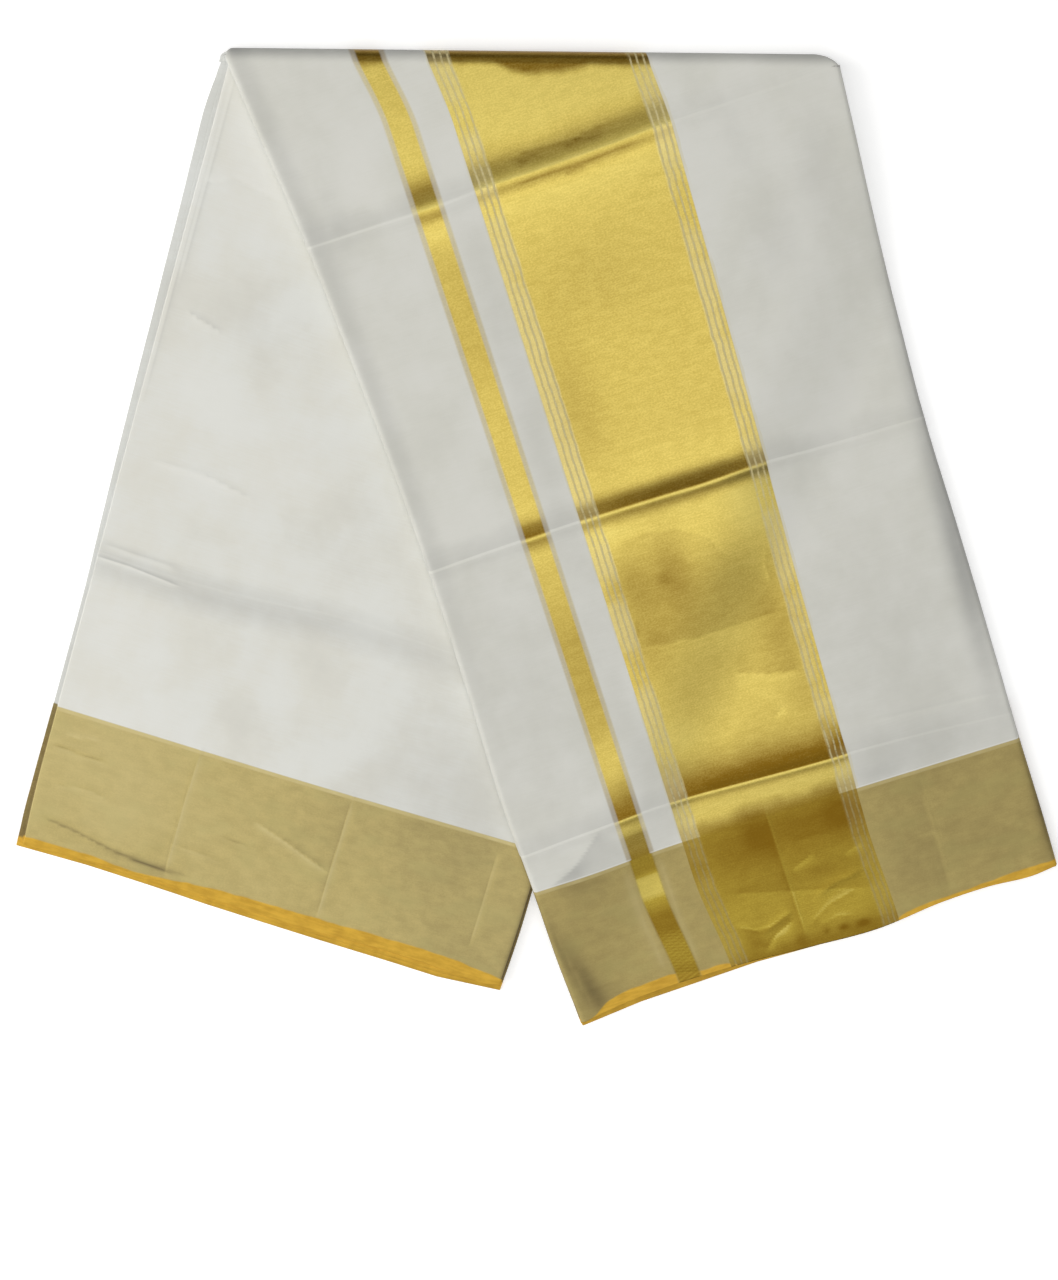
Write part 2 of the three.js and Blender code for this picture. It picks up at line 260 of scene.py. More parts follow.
# marks from the first place of a table to its last, with the steps that it gives
def pacedMarks(table):
    first, last = table[0][0], table[-1][0]
    marks = [first]
    while marks[-1] < last:
        marks.append(marks[-1] + straightThrough(table, marks[-1]))
    marks = np.array(marks, float)
    return first + (marks - first) * (last - first) / (marks[-1] - first)


def metres(points):
    return (np.asarray(points) + np.array(fold["shift"])) / 1000


# adds one row of values to each of the layers that a mesh is made from
def addRow(layers, *row):
    for layer, values in zip(layers.values(), row):
        layer.append(values)


# a mesh from rows of points, with the weave's coordinates and the other layers' values
def meshFrom(name, layers, faces):
    points, across, along = (np.array(layers.pop(part)) for part in ("points", "across", "along"))
    mesh = bpy.data.meshes.new(name)
    mesh.from_pydata(metres(points).reshape(-1, 3).tolist(), [], faces)
    corners = np.zeros(len(mesh.loops), np.int32)
    mesh.loops.foreach_get("vertex_index", corners)
    weave = mesh.uv_layers.new(name="weave")
    weave.uv.foreach_set("vector", np.stack([across, along], -1).reshape(-1, 2)[corners].ravel())
    for title, rows in layers.items():
        values = np.array(rows, np.float32)
        kind, part = ("FLOAT_VECTOR", "vector") if values.ndim > 2 else ("FLOAT", "value")
        mesh.attributes.new(title, kind, "POINT").data.foreach_set(part, values.ravel())
    mesh.shade_smooth()
    return addObject(name, mesh)


# a sheet from a grid of points, thickened inwards
def gridMesh(name, layers, thickness):
    rows, columns = np.shape(layers["across"])
    index = np.arange(rows * columns).reshape(rows, columns)
    quads = np.stack([index[:-1, :-1], index[1:, :-1], index[1:, 1:], index[:-1, 1:]], -1)
    piece = meshFrom(name, layers, quads.reshape(-1, 4).tolist())
    wall = piece.modifiers.new("wall", "SOLIDIFY")
    wall.thickness = thickness / 1000
    wall.offset = -1
    wall.use_rim_only = True
    return piece


def addObject(name, mesh):
    piece = bpy.data.objects.new(name, mesh)
    bpy.context.scene.collection.objects.link(piece)
    return piece


# the two legs' edges and the lines across them
frontLeg = {
    # the two long edges: along, across
    "left": [
        (-60, -178.5), (0, -174.3), (60, -169.9), (130, -167.3), (200, -165.4), (280, -165), (370, -167.2),
        (450, -170.3), (515, -169.7), (570, -170), (625, -168.8),
    ],
    "right": [
        (-60, 169.5), (0, 169), (60, 168), (130, 167), (200, 167.3), (280, 168), (370, 172.4), (450, 175.6),
        (515, 178), (570, 180.8), (625, 182.7),
    ],
    "crease1": [
        (-165, 64.5), (-120, 65), (-92, 65.6), (-55, 64.2), (-10, 64.3), (20, 63.8), (50, 62.6),
        (100, 62.5), (180, 62),
    ],
    "crease2": [
        (-165, 278.7), (-120, 277.3), (-92, 276.9), (-50, 276.6), (-10, 276.9), (20, 277.5), (50, 277),
        (100, 280.5), (180, 283),
    ],
    "crease3": [
        (-165, 486), (-120, 483), (-92, 481.8), (-50, 482.5), (-10, 484.2), (20, 485.5), (48, 486.5),
        (64, 486.8), (100, 488.8), (140, 492), (180, 495.5),
    ],
    # ends of the shown ply, of the pile and of the plain cloth: across, along
    "plyEnd": [
        (-165, 618), (-120, 610.5), (-85, 609), (-50, 611.5), (0, 616), (50, 618), (100, 614), (140, 613),
        (180, 611),
    ],
    "pileEnd": [
        (-165, 629), (-120, 625.5), (-85, 624), (-50, 622), (0, 623), (50, 625), (100, 618), (133, 617),
        (165, 622), (182, 618.5),
    ],
    "orange": [
        (-170, 625), (-158, 621.5), (-147, 615), (-133, 611), (-116, 609.6), (-93, 609), (-84, 611),
        (-77, 612.5), (-58, 613), (-50, 617), (-42, 626), (55, 630), (64, 620), (72, 616), (86, 614),
        (117, 612.5), (140, 611), (180, 610),
    ],
    "borderTop": [(-165, 514.5), (180, 514.5)],
    "border": 514.5,
    "foldRadius": 3.2,
    "skirt": 1.2,
}
backLeg = {
    "left": [
        (0, -173), (100, -172.3), (200, -172.2), (300, -172), (430, -171.3), (490, -171.2), (545, -171),
        (600, -169),
    ],
    "right": [(0, 168), (490, 168), (545, 171), (600, 172.6)],
    # how far the hidden folds stand out: along, width
    "foldsLeft": [
        (0, 3.4), (62, 4.6), (70, 5.6), (80, 6.8), (92, 7.6), (110, 7.4), (200, 6.2), (300, 5), (430, 3.2),
        (490, 3.6), (545, 4.2), (575, 5), (600, 4),
    ],
    "foldsRight": [(0, 1), (430, 1), (490, 1.5), (545, 2), (600, 2)],
    "crease": [
        (-170, 377), (-145, 378), (-98, 377.5), (-55, 374.5), (-13, 370), (31, 370), (73, 371), (170, 371),
    ],
    "plyEnd": [
        (-170, 585.5), (-145, 583), (-98, 578.5), (-55, 581), (-13, 582), (31, 583), (73, 580), (117, 581),
        (170, 584.5),
    ],
    "pileEnd": [
        (-170, 594.6), (-145, 594.8), (-98, 595.8), (-55, 597.6), (-13, 598.9), (31, 600), (73, 600.4),
        (117, 601.5), (140, 602.6), (153, 604), (163, 602.5), (172, 598),
    ],
    "orange": [
        (-170, 584), (-150, 583.8), (-127, 583.6), (-102, 586), (-73, 585), (-44, 582.5), (18, 581.8),
        (70, 581.5), (117, 581.8), (143, 583.4), (172, 587),
    ],
    "borderTop": [(-170, 487), (0, 487.5), (170, 486)],
    "border": 487.0,
    "foldRadius": 0.9,
    "skirt": 0.2,
}
for leg in (frontLeg, backLeg):
    for name, rows in leg.items():
        if isinstance(rows, list):
            leg[name] = curveThrough(rows)


def clothEnd(leg):
    return lambda across: mix(leg["plyEnd"](across), leg["pileEnd"](across), 0.5)


# columns across a sheet: round the left fold, over the flat, round the right fold
def sheetColumns(leg, coarse):
    turns = np.radians([90, 90, 67.5, 45, 22.5])
    hangs = np.array([leg["skirt"], 0, 0, 0, 0])
    ends = np.ones(len(turns))
    flat = (pacedMarks(coarse) + fold["halfWidth"]) / (2 * fold["halfWidth"])
    none = np.zeros_like(flat)
    return {
        "share": np.concatenate([0 * ends, flat, ends]),
        "side": np.concatenate([-ends, none, ends]),
        "turn": np.concatenate([turns, none, turns[::-1]]),
        "hang": np.concatenate([hangs, none, hangs[::-1]]),
    }


# fits a row to the leg's long edges: inset from them, then reaching out again
def fitRow(leg, line, share, inset, reach, insets):
    along = line(mix(-fold["halfWidth"], fold["halfWidth"], share))
    for _ in range(fold["fitRounds"]):
        left = leg["left"](along) + insets[0] + inset
        right = leg["right"](along) - insets[1] - inset
        centre = mix(left, right, share)
        across = centre + reach
        along = line(across)
    return across, along, centre


# where each column of a sheet is on one row: across, along, drop and weave coordinate
def sheetRow(leg, columns, line, curl=1.0, insets=(0.0, 0.0)):
    radius, side, turn, hang = leg["foldRadius"], columns["side"], columns["turn"], columns["hang"]
    reach = side * (radius * np.sin(turn) + (1 - curl) * fold["looseHang"] * hang)
    across, along, centre = fitRow(leg, line, columns["share"], radius, reach, insets)
    drop = radius * (1 - np.cos(curl * turn)) + curl * hang
    return across, along, drop, centre + side * (radius * turn + hang)


# the weave coordinate along a leg, in which its border starts straight
def weaveAlong(leg, across, along):
    return along - leg["borderTop"](across) + leg["border"]


def between(first, second, share):
    return lambda across: mix(first(across), second(across), share)


# lines from guide to guide with a piece's row steps, closer together beside each guide
def spanRows(guides, piece):
    lines = []
    for start, end, coarse in zip(guides[:-1], guides[1:], piece["rows"]):
        length = end(0.0) - start(0.0)
        marks = ladder(0, length, coarse, piece["fine"], [0, length], piece["fineReach"]) / length
        lines += [between(start, end, share) for share in marks[:-1]]
    return [*lines, guides[-1]]


# front cloth: tucked under the crest, over it and down to its selvedge
frontCloth = {
    # steps between columns (across, step), and between rows from guide to guide
    "columns": [
        (-172, 1.4), (-150, 2.6), (-114, 2.4), (-106, 1.6), (-6, 1.6), (-3, 0.8), (1, 0.8), (4, 1.6),
        (62, 1.6), (72, 2.6), (100, 2.6), (103, 1), (107, 1), (112, 2.6), (155, 2.6), (172, 1.6),
    ],
    "rows": [2.0, 2.6, 2.0, 1.4],
    "fine": 0.5,
    "fineReach": 7,
    "thickness": 0.45,
    "crestSteps": 26,
    "farFromEnd": -600.0,
    "reliefTurn": 0.9,
    # relief past each crease: distance, height, softness of the bend
    "creases": {
        "crease1": [(-12, 0, 2.0), (0, 1.9, 0.6), (3, 1.6, 0.6), (7, 0.4, 1.2), (16, 0, 3)],
        "crease2": [(-10.5, 0, 1.3), (0, 2.5, 0.3), (2.0, 2.25, 0.35), (6.5, 0.6, 1.0), (15, 0, 3)],
        "crease3": [
            (-21, 0, 2), (-13, 0.7, 1.5), (-6, 2.1, 1.2), (0, 3.9, 0.3), (1.5, 3.75, 0.3), (4, 3.0, 0.8),
            (24, 0, 4),
        ],
    },
    # how strong each crease is: across, share
    "strength": {
        "crease1": [(-175, 0.5), (-110, 0.7), (-60, 1), (0, 0.9), (60, 0.8), (110, 0.25), (180, 0)],
        "crease2": [(-175, 0.45), (-100, 0.75), (-50, 0.85), (-10, 1.05), (60, 1), (120, 0.5), (180, 0.35)],
        "crease3": [(-175, 0.3), (-100, 0.7), (-60, 0.9), (0, 1), (60, 0.95), (110, 0.45), (180, 0.35)],
    },
    # path, height, width, fade at the ends
    "wrinkles": [
        ([(-2, 505), (-1, 560), (1, 615)], 0.35, 1.6, 0.1),
        ([(105, 509), (106, 560), (105, 606)], 0.5, 1.6, 0.1),
        ([(83, 471.5), (130, 475.5), (178, 480.7)], 0.35, 1.8, 0.25),
        ([(12, 585), (30, 577), (52, 574)], 0.7, 3.0, 0.25),
        ([(-30, 600), (-12, 592), (-2, 588)], 0.6, 2.5, 0.25),
    ],
    # across, along, size across and along, height and, if turned, degrees
    "swells": [
        (-5, 330, 45, 22, 0.5), (10, 552, 55, 18, 0.6), (-135, 498, 22, 12, -0.5, -40),
        (-60, 150, 60, 40, 0.4, 20),
    ],
    # painted shade and painted highlight of the gold beside each crease: distance, tone
    "creaseTones": {
        "crease1": [
            (-26, 0), (-22, 0.15), (-18.5, 0.28), (-16.5, 0.44), (-14.5, 0.54), (-12.5, 0.63),
            (-10.5, 0.68), (-8, 0.62), (-6, 0.56), (-4.5, 0.45), (-3, 0.1), (-1.5, -0.3), (-0.3, -0.4),
            (0.6, 0.03), (1.5, 0.22), (3, 0.45), (5, 0.5), (7, 0.3), (9, 0.05), (14, -0.15), (20, -0.1),
            (24, 0),
        ],
        "crease2": [
            (-16, 0), (-12, 0.17), (-10, 0.34), (-8, 0.58), (-6.5, 0.74), (-5, 0.82), (-1, 0.86),
            (-0.2, 0.75), (0.3, 0.2), (0.7, -0.25), (1.5, -0.2), (2.2, 0.25), (3.2, 0.47), (4.4, 0.54),
            (6, 0.46), (7.5, 0.32), (9, 0.14), (11, 0), (14, -0.08), (20, 0),
        ],
        "crease3": [
            (-38, 0), (-31, 0.1), (-26, 0.22), (-22, 0.36), (-18, 0.5), (-14, 0.66), (-11, 0.78),
            (-8, 0.86), (-4, 0.9), (-0.6, 0.94), (-0.1, 0.4), (0.4, -0.2), (1.1, -0.2), (2, 0.12),
            (3.3, 0.3), (4.6, 0.26), (6.5, 0.06), (9, -0.08), (14, -0.05), (16, 0),
        ],
    },
    # how strong the painted crease shade and highlight on the gold is: across, share
    "goldStrength": {
        "crease1": [(-175, 1.05), (-92, 1.05), (-55, 0.84), (10, 0.78), (60, 0.72), (180, 0.3)],
        "crease2": [(-175, 0.95), (-92, 0.95), (-55, 0.95), (-10, 1.02), (60, 1), (180, 0.5)],
        "crease3": [(-175, 1), (-92, 1), (-55, 1.04), (-10, 1.12), (60, 1.14), (180, 0.9)],
    },
    # painted shade and painted light of the cotton and border beside each crease: distance, tone
    "groundTone": [
        (-16, 0), (-9, 0.22), (-3, 0.32), (-1, 0.32), (-0.4, -0.22), (0.7, -0.22), (1.4, 0.1), (5, 0.1),
        (9, 0),
    ],
    # how strong that painted shade and light is at each crease: across, share
    "groundStrength": {
        "crease1": [(-175, 0.5), (-112, 0.9), (-98, 0.9), (-71, 0.6), (65, 0.3), (120, 0.15), (180, 0)],
        "crease2": [(-175, 0.6), (-112, 0.8), (-71, 0.7), (75, 0.7), (120, 0.5), (180, 0.3)],
        "crease3": [(-175, 0.6), (-112, 0.8), (-71, 0.6), (75, 0.4), (120, 0.25), (180, 0.15)],
    },
    # painted shade and painted highlight down the wide band and down the stripe: along, tone
    "bandTone": [
        (-20, -0.16), (50, -0.14), (80, 0), (110, 0.08), (150, 0.15), (235, 0.15), (255, 0.05), (300, 0),
        (330, 0.08), (400, 0.12), (430, 0.06), (500, 0), (503, 0.2), (505, 0.35), (507, 0.5), (509, 0.62),
        (514.2, 0.7), (515, 0.62), (524, 0.76), (535, 0.76), (545, 0.62), (555, 0.42), (563, 0.42),
        (570, 0.33), (578, 0.25), (600, 0.2), (609, 0.35), (616, 0.7), (640, 0.8),
    ],
    "stripeTone": [
        (0, 0.05), (30, -0.05), (80, 0.05), (100, 0.25), (150, 0.33), (190, 0.17), (240, 0.15), (255, 0.07),
        (285, 0.1), (320, 0.24), (350, 0.46), (390, 0.44), (415, 0.32), (435, 0.08), (460, 0.05), (490, 0),
        (494, 0.2), (497, 0.6), (514.2, 0.68), (515, 0.4), (527, 0.42), (531, -0.26), (545, -0.3),
        (552, 0.15), (558, 0.5), (562, 0.74), (575, 0.75), (582, 0.42), (598, 0.35), (606, 0.55),
        (640, 0.65),
    ],
    # how deep the painted dark line along the crest reaches: across, depth
    "crestGold": [(-175, 9), (-60, 8), (-30, 8), (-12, 13), (6, 12), (22, 9), (60, 8), (175, 8)],
    # patches of painted shade and painted highlight on the gold: across, along, size across and along, tone
    # and, if turned, degrees
    "goldPatches": [
        (-40, 334, 19, 31, 0.36), (-14, 328, 13, 31, 0.44), (-22, 330, 4, 4, 0.14), (9, 346, 18, 26, 0.1),
        (34, 356, 20, 26, 0.06), (0, 345, 52, 30, 0.1), (-28, 366, 30, 12, 0.12), (38, 392, 15, 22, 0.24),
        (14, 446, 16, 10, 0.1), (46, 305, 16, 24, -0.3), (46, 372, 14, 26, 0.2), (46, 435, 13, 30, 0.26),
        (-42, 378, 14, 20, 0.22), (-42, 322, 12, 18, 0.12), (-42, 200, 14, 60, 0.12),
        (-50, 290, 14, 12, -0.2), (-44, 442, 18, 18, -0.22), (8, 382, 20, 8, -0.12),
        (-8, 132, 36, 26, 0.12), (-44, 205, 20, 30, 0.1), (-8, 90, 60, 9, -0.06), (-52, 530, 14, 30, -0.16),
        (-13, 524, 9, 20, 0.24), (48, 528, 12, 16, 0.3), (22, 526, 20, 10, 0.1), (24, 565, 22, 6, 0.16, 8),
        (30, 594, 25, 11, -0.12, 8), (-34, 603, 7, 9, 0.4), (-14, 603, 9, 5, -0.25), (16, 611, 3, 3, 0.4),
        (28, 612, 4, 3, 0.6), (42, 613, 5, 3, 0.6), (-3, 611, 5, 6, 0.3), (-40, 578, 14, 8, -0.1),
    ],
    # painted shade and painted highlight on either side of bent lines: path, reach, tone before it and past
    # it
    "goldLedges": [
        ([(-42, 69), (-14, 68.4), (0, 69.4), (22, 68), (44, 67.4)], 1.8, 0.5, 0.1),
        ([(-34, 57.5), (-22, 55), (-16, 56.5)], 1.4, 0.1, 0.4),
        ([(-4, 56), (6, 54), (14, 56.5), (22, 54.5)], 1.4, 0.1, 0.4),
        ([(-8, 71), (2, 72.5), (6, 70.5)], 1.2, 0.4, 0.35),
        ([(-40, 54), (-20, 51), (5, 53), (28, 50)], 3, -0.1, 0.3),
        ([(-49, 370.5), (-11, 375.4), (30, 377.8), (50, 375.4)], 9, 0.14, -0.12),
        ([(4, 408), (25, 416), (50, 421)], 9, 0.18, -0.2), ([(22, 448), (31, 442)], 2.5, 0.1, -0.3),
        ([(48, 333), (44.5, 344), (44.5, 356)], 2.2, 0.12, -0.3),
        ([(-51, 300), (-30, 297), (-5, 301), (14, 313), (22, 331)], 5, -0.14, 0.08),
        ([(-50, 366), (-44, 352)], 3, 0.2, 0),
        ([(-2, 507), (-1.5, 545), (-0.5, 570), (1, 614)], 5, -0.1, 0.3),
        ([(-2, 507), (-1.5, 545), (-0.5, 570), (1, 614)], 1.2, -0.3, 0.05),
        ([(-46, 561), (-4, 572.5), (60, 590.5)], 8, 0.16, -0.2),
        ([(-45, 588), (-30, 596), (-22, 596), (-3, 588)], 2.6, -0.5, 0.3),
        ([(-29, 613), (-20, 603), (-4, 595)], 3, 0.4, -0.5),
        ([(6, 603), (24, 592), (44, 587)], 3, -0.3, 0.25), ([(4, 559), (22, 551)], 3.4, 0.1, -0.6),
        ([(42, 559), (56, 554)], 2.6, 0, -0.5), ([(12, 606), (26, 603), (40, 606)], 3, -0.35, 0.1),
        ([(10, 540), (26, 538), (40, 542)], 3, 0.1, -0.1),
    ],
    # patches of painted shade and painted light on the cotton and border: across, along, size across and
    # along, tone and, if turned, degrees
    "groundPatches": [
        (-120, 45, 16, 26, -0.16, -20), (-148, 60, 10, 40, 0.12, 8), (-60, 30, 14, 20, -0.08),
        (112, 40, 26, 12, -0.1, -15), (96, 84, 12, 30, 0.1, -12), (138, 118, 14, 34, 0.2, 10),
        (105, 150, 18, 26, 0.16), (168, 370, 8, 95, 0.75), (168, 230, 7, 70, 0.4),
        (-138, 509, 11, 5, 0.3, -20), (80, 508, 16, 7, 0.2), (-130, 385, 60, 110, 0.14),
        (-72, 330, 14, 200, 0.1), (115, 430, 70, 90, 0.14), (100, 500, 70, 30, 0.1),
        (-156, 592, 36, 7, 0.5, 80), (181, 565, 5, 48, 0.6), (-166, 560, 30, 4, 0.25, 86),
        (-148, 608, 24, 9, 0.16, 10), (-128, 540, 22, 14, -0.1), (90, 575, 20, 26, 0.16),
        (140, 560, 50, 50, 0.07), (-72, 175, 12, 90, 0.14), (110, 502, 60, 14, 0.14),
        (165, 325, 8, 90, 0.14),
    ],
    # painted shade and painted light on either side of bent lines: path, reach, tone before it and past it
    "groundLedges": [
        ([(-160, 515), (-140, 507), (-128, 498), (-112, 483)], 20, -0.06, 0.34),
        ([(105, 515), (105, 560), (106, 612)], 5, -0.16, 0.14),
        ([(84, 470), (130, 474), (178, 479.5)], 1.4, 0.12, -0.14),
        ([(84, 564), (104, 561), (112, 562)], 2, 0.02, -0.18),
        ([(-165, 545), (-163, 575), (-158, 616)], 2, -0.2, 0),
        ([(-105.5, 516), (-105, 560), (-100, 608)], 3, -0.5, -0.5),
        ([(-80.5, 516), (-80, 560), (-77, 608)], 2.4, -0.5, -0.5),
    ],
    "stripeSide": (-70, -78),
    "ribs": {"tone": 0.22, "slant": 0.4, "pitch": 1.9, "fades": (572, 580)},
    "uneven": {"gold": 0.08, "ground": 0.1, "band": 2},
    # painted shade along the crest, and painted shade in a band inside the front's left edge
    "crestTone": {"gold": 0.9, "before": 3, "past": 3.5, "waver": 0.8, "ground": 0.75, "reach": 9},
    "innerRim": {"tone": 1.8, "width": 19, "fades": (150, 480)},
    # how far the woven bands run askew at the crest and at the selvedge
    "skewTop": {"by": (3.4, 6.4), "across": (-60, -85), "depth": (-6, 44)},
    "skewEnd": {"by": (6.5, 4.0), "across": (-60, 60), "along": (540, 622)},
}


# painted shade and highlight beside the creases and the crest, down the bands, in clouds and along ledges:
# one field for the gold, one for cotton and border
def frontTones(across, along, depth, edge):
    gold = swellHeight(across, along, frontCloth["goldPatches"])
    ground = swellHeight(across, along, frontCloth["groundPatches"])
    gold += ledgeTone(across, along, frontCloth["goldLedges"])
    ground += ledgeTone(across, along, frontCloth["groundLedges"])
    ribs, uneven = frontCloth["ribs"], frontCloth["uneven"]
    onStripe = smooth(across, *frontCloth["stripeSide"])
    ribbed = ribs["tone"] * np.sin((along + ribs["slant"] * across) * ribs["pitch"])
    stripe = straightThrough(frontCloth["stripeTone"], along)
    gold += (ribbed * smooth(along, *ribs["fades"]) + stripe) * onStripe
    wavered = along + uneven["band"] * ripple(across, 2)
    gold += straightThrough(frontCloth["bandTone"], wavered) * (1 - onStripe)
    for name, knots in frontCloth["creaseTones"].items():
        distance = along - frontLeg[name](across)
        gold += creaseTone(distance, across, knots, frontCloth["goldStrength"][name], uneven["gold"])
        strength = frontCloth["groundStrength"][name]
        ground += creaseTone(distance, across, frontCloth["groundTone"], strength, uneven["ground"])
    # painted shade along the crest on gold and cotton, and painted shade in a band inside the front's left
    # edge
    crest, rim = frontCloth["crestTone"], frontCloth["innerRim"]
    reach = curveThrough(frontCloth["crestGold"])(across) + crest["waver"] * ripple(across * 2, 5)
    below = smooth(depth, reach - crest["before"], reach + crest["past"])
    gold = mix(np.maximum(gold, crest["gold"]), gold, below)
    ground += crest["ground"] * (1 - smooth(depth, 0, crest["reach"]))
    inside = np.clip(edge / rim["width"], 0, 1)
    fades = (1 - smooth(along, *rim["fades"])) * (across < 0)
    ground += rim["tone"] * inside * (1 - inside) ** 2 * fades
    return np.clip(gold, -1, 1), np.clip(ground, -1, 1)


# how far the woven bands have slid sideways at a place
def weaveSlide(across, along, depth):
    top, end = frontCloth["skewTop"], frontCloth["skewEnd"]
    slide = mix(*top["by"], smooth(across, *top["across"])) * (1 - smooth(depth, *top["depth"]))
    return slide - mix(*end["by"], smooth(across, *end["across"])) * smooth(along, *end["along"])


def frontHeights(across, along):
    total = swellHeight(across, along, frontCloth["swells"])
    total += wrinkleHeight(across, along, frontCloth["wrinkles"])
    for name, knots in frontCloth["creases"].items():
        strength = curveThrough(frontCloth["strength"][name])(across)
        total += strength * softHinges(along - frontLeg[name](across), knots)
    return total


def makeFrontCloth():
    columns = sheetColumns(frontLeg, frontCloth["columns"])
    layers = {name: [] for name in ("points", "across", "along", "pastPly", "goldTone", "groundTone")}

    def addPlace(place, leg, weave, pastPly):
        tones = frontTones(*leg, -place[1], leg[0] - frontLeg["left"](leg[1]))
        slid = weave[0] + weaveSlide(*leg, -place[1])
        addRow(layers, np.stack(place, -1), slid, weave[1], pastPly, *tones)

    # tucked in under the crest
    crestLine = crestAlong(frontLean, crestEnd)
    far = np.full(columns["share"].shape, frontCloth["farFromEnd"])
    for y in (crestEnd - fold["tuck"], crestEnd - fold["tuck"] / 2):
        u, v, _, weave = sheetRow(frontLeg, columns, crestLine, 0.0)
        x, _ = toPlan(backLean, u, crestAlong(backLean, y)(u))
        beyond = fold["crestRadius"] * math.pi + crestEnd - y
        addPlace((x, np.full_like(x, y), np.zeros_like(x)), (u, v), (weave, v - beyond), far)

    # round the crest
    radius = fold["crestRadius"]
    for turn in np.linspace(-1, 1, frontCloth["crestSteps"]):
        curl = float(smooth(turn, -1, 0))
        u, v, drop, weave = sheetRow(frontLeg, columns, crestLine, curl, crestInsets(turn))
        depth = radius - drop + frontHeights(u, v) * smooth(turn, 0, 1)
        x = (u + radius * sine * turn) / cosine
        y = crestEnd + depth * math.cos(turn * quarter)
        z = radius + depth * math.sin(turn * quarter)
        addPlace((x, y, z), (u, v), (weave, v - radius * quarter * (1 - turn)), far)

    # down the leg
    flatness = np.cos(columns["turn"] * frontCloth["reliefTurn"])
    guides = [crestLine, *[frontLeg[name] for name in frontCloth["creases"]], clothEnd(frontLeg)]
    for line in spanRows(guides, frontCloth)[1:]:
        u, v, drop, weave = sheetRow(frontLeg, columns, line)
        x, y = toPlan(frontLean, u, v)
        z = frontUnderside(x, y) + legHeight - drop + frontHeights(u, v) * flatness
        addPlace((x, y, z), (u, v), (weave, weaveAlong(frontLeg, u, v)), v - frontLeg["orange"](u))
    return gridMesh("front_cloth", layers, frontCloth["thickness"])


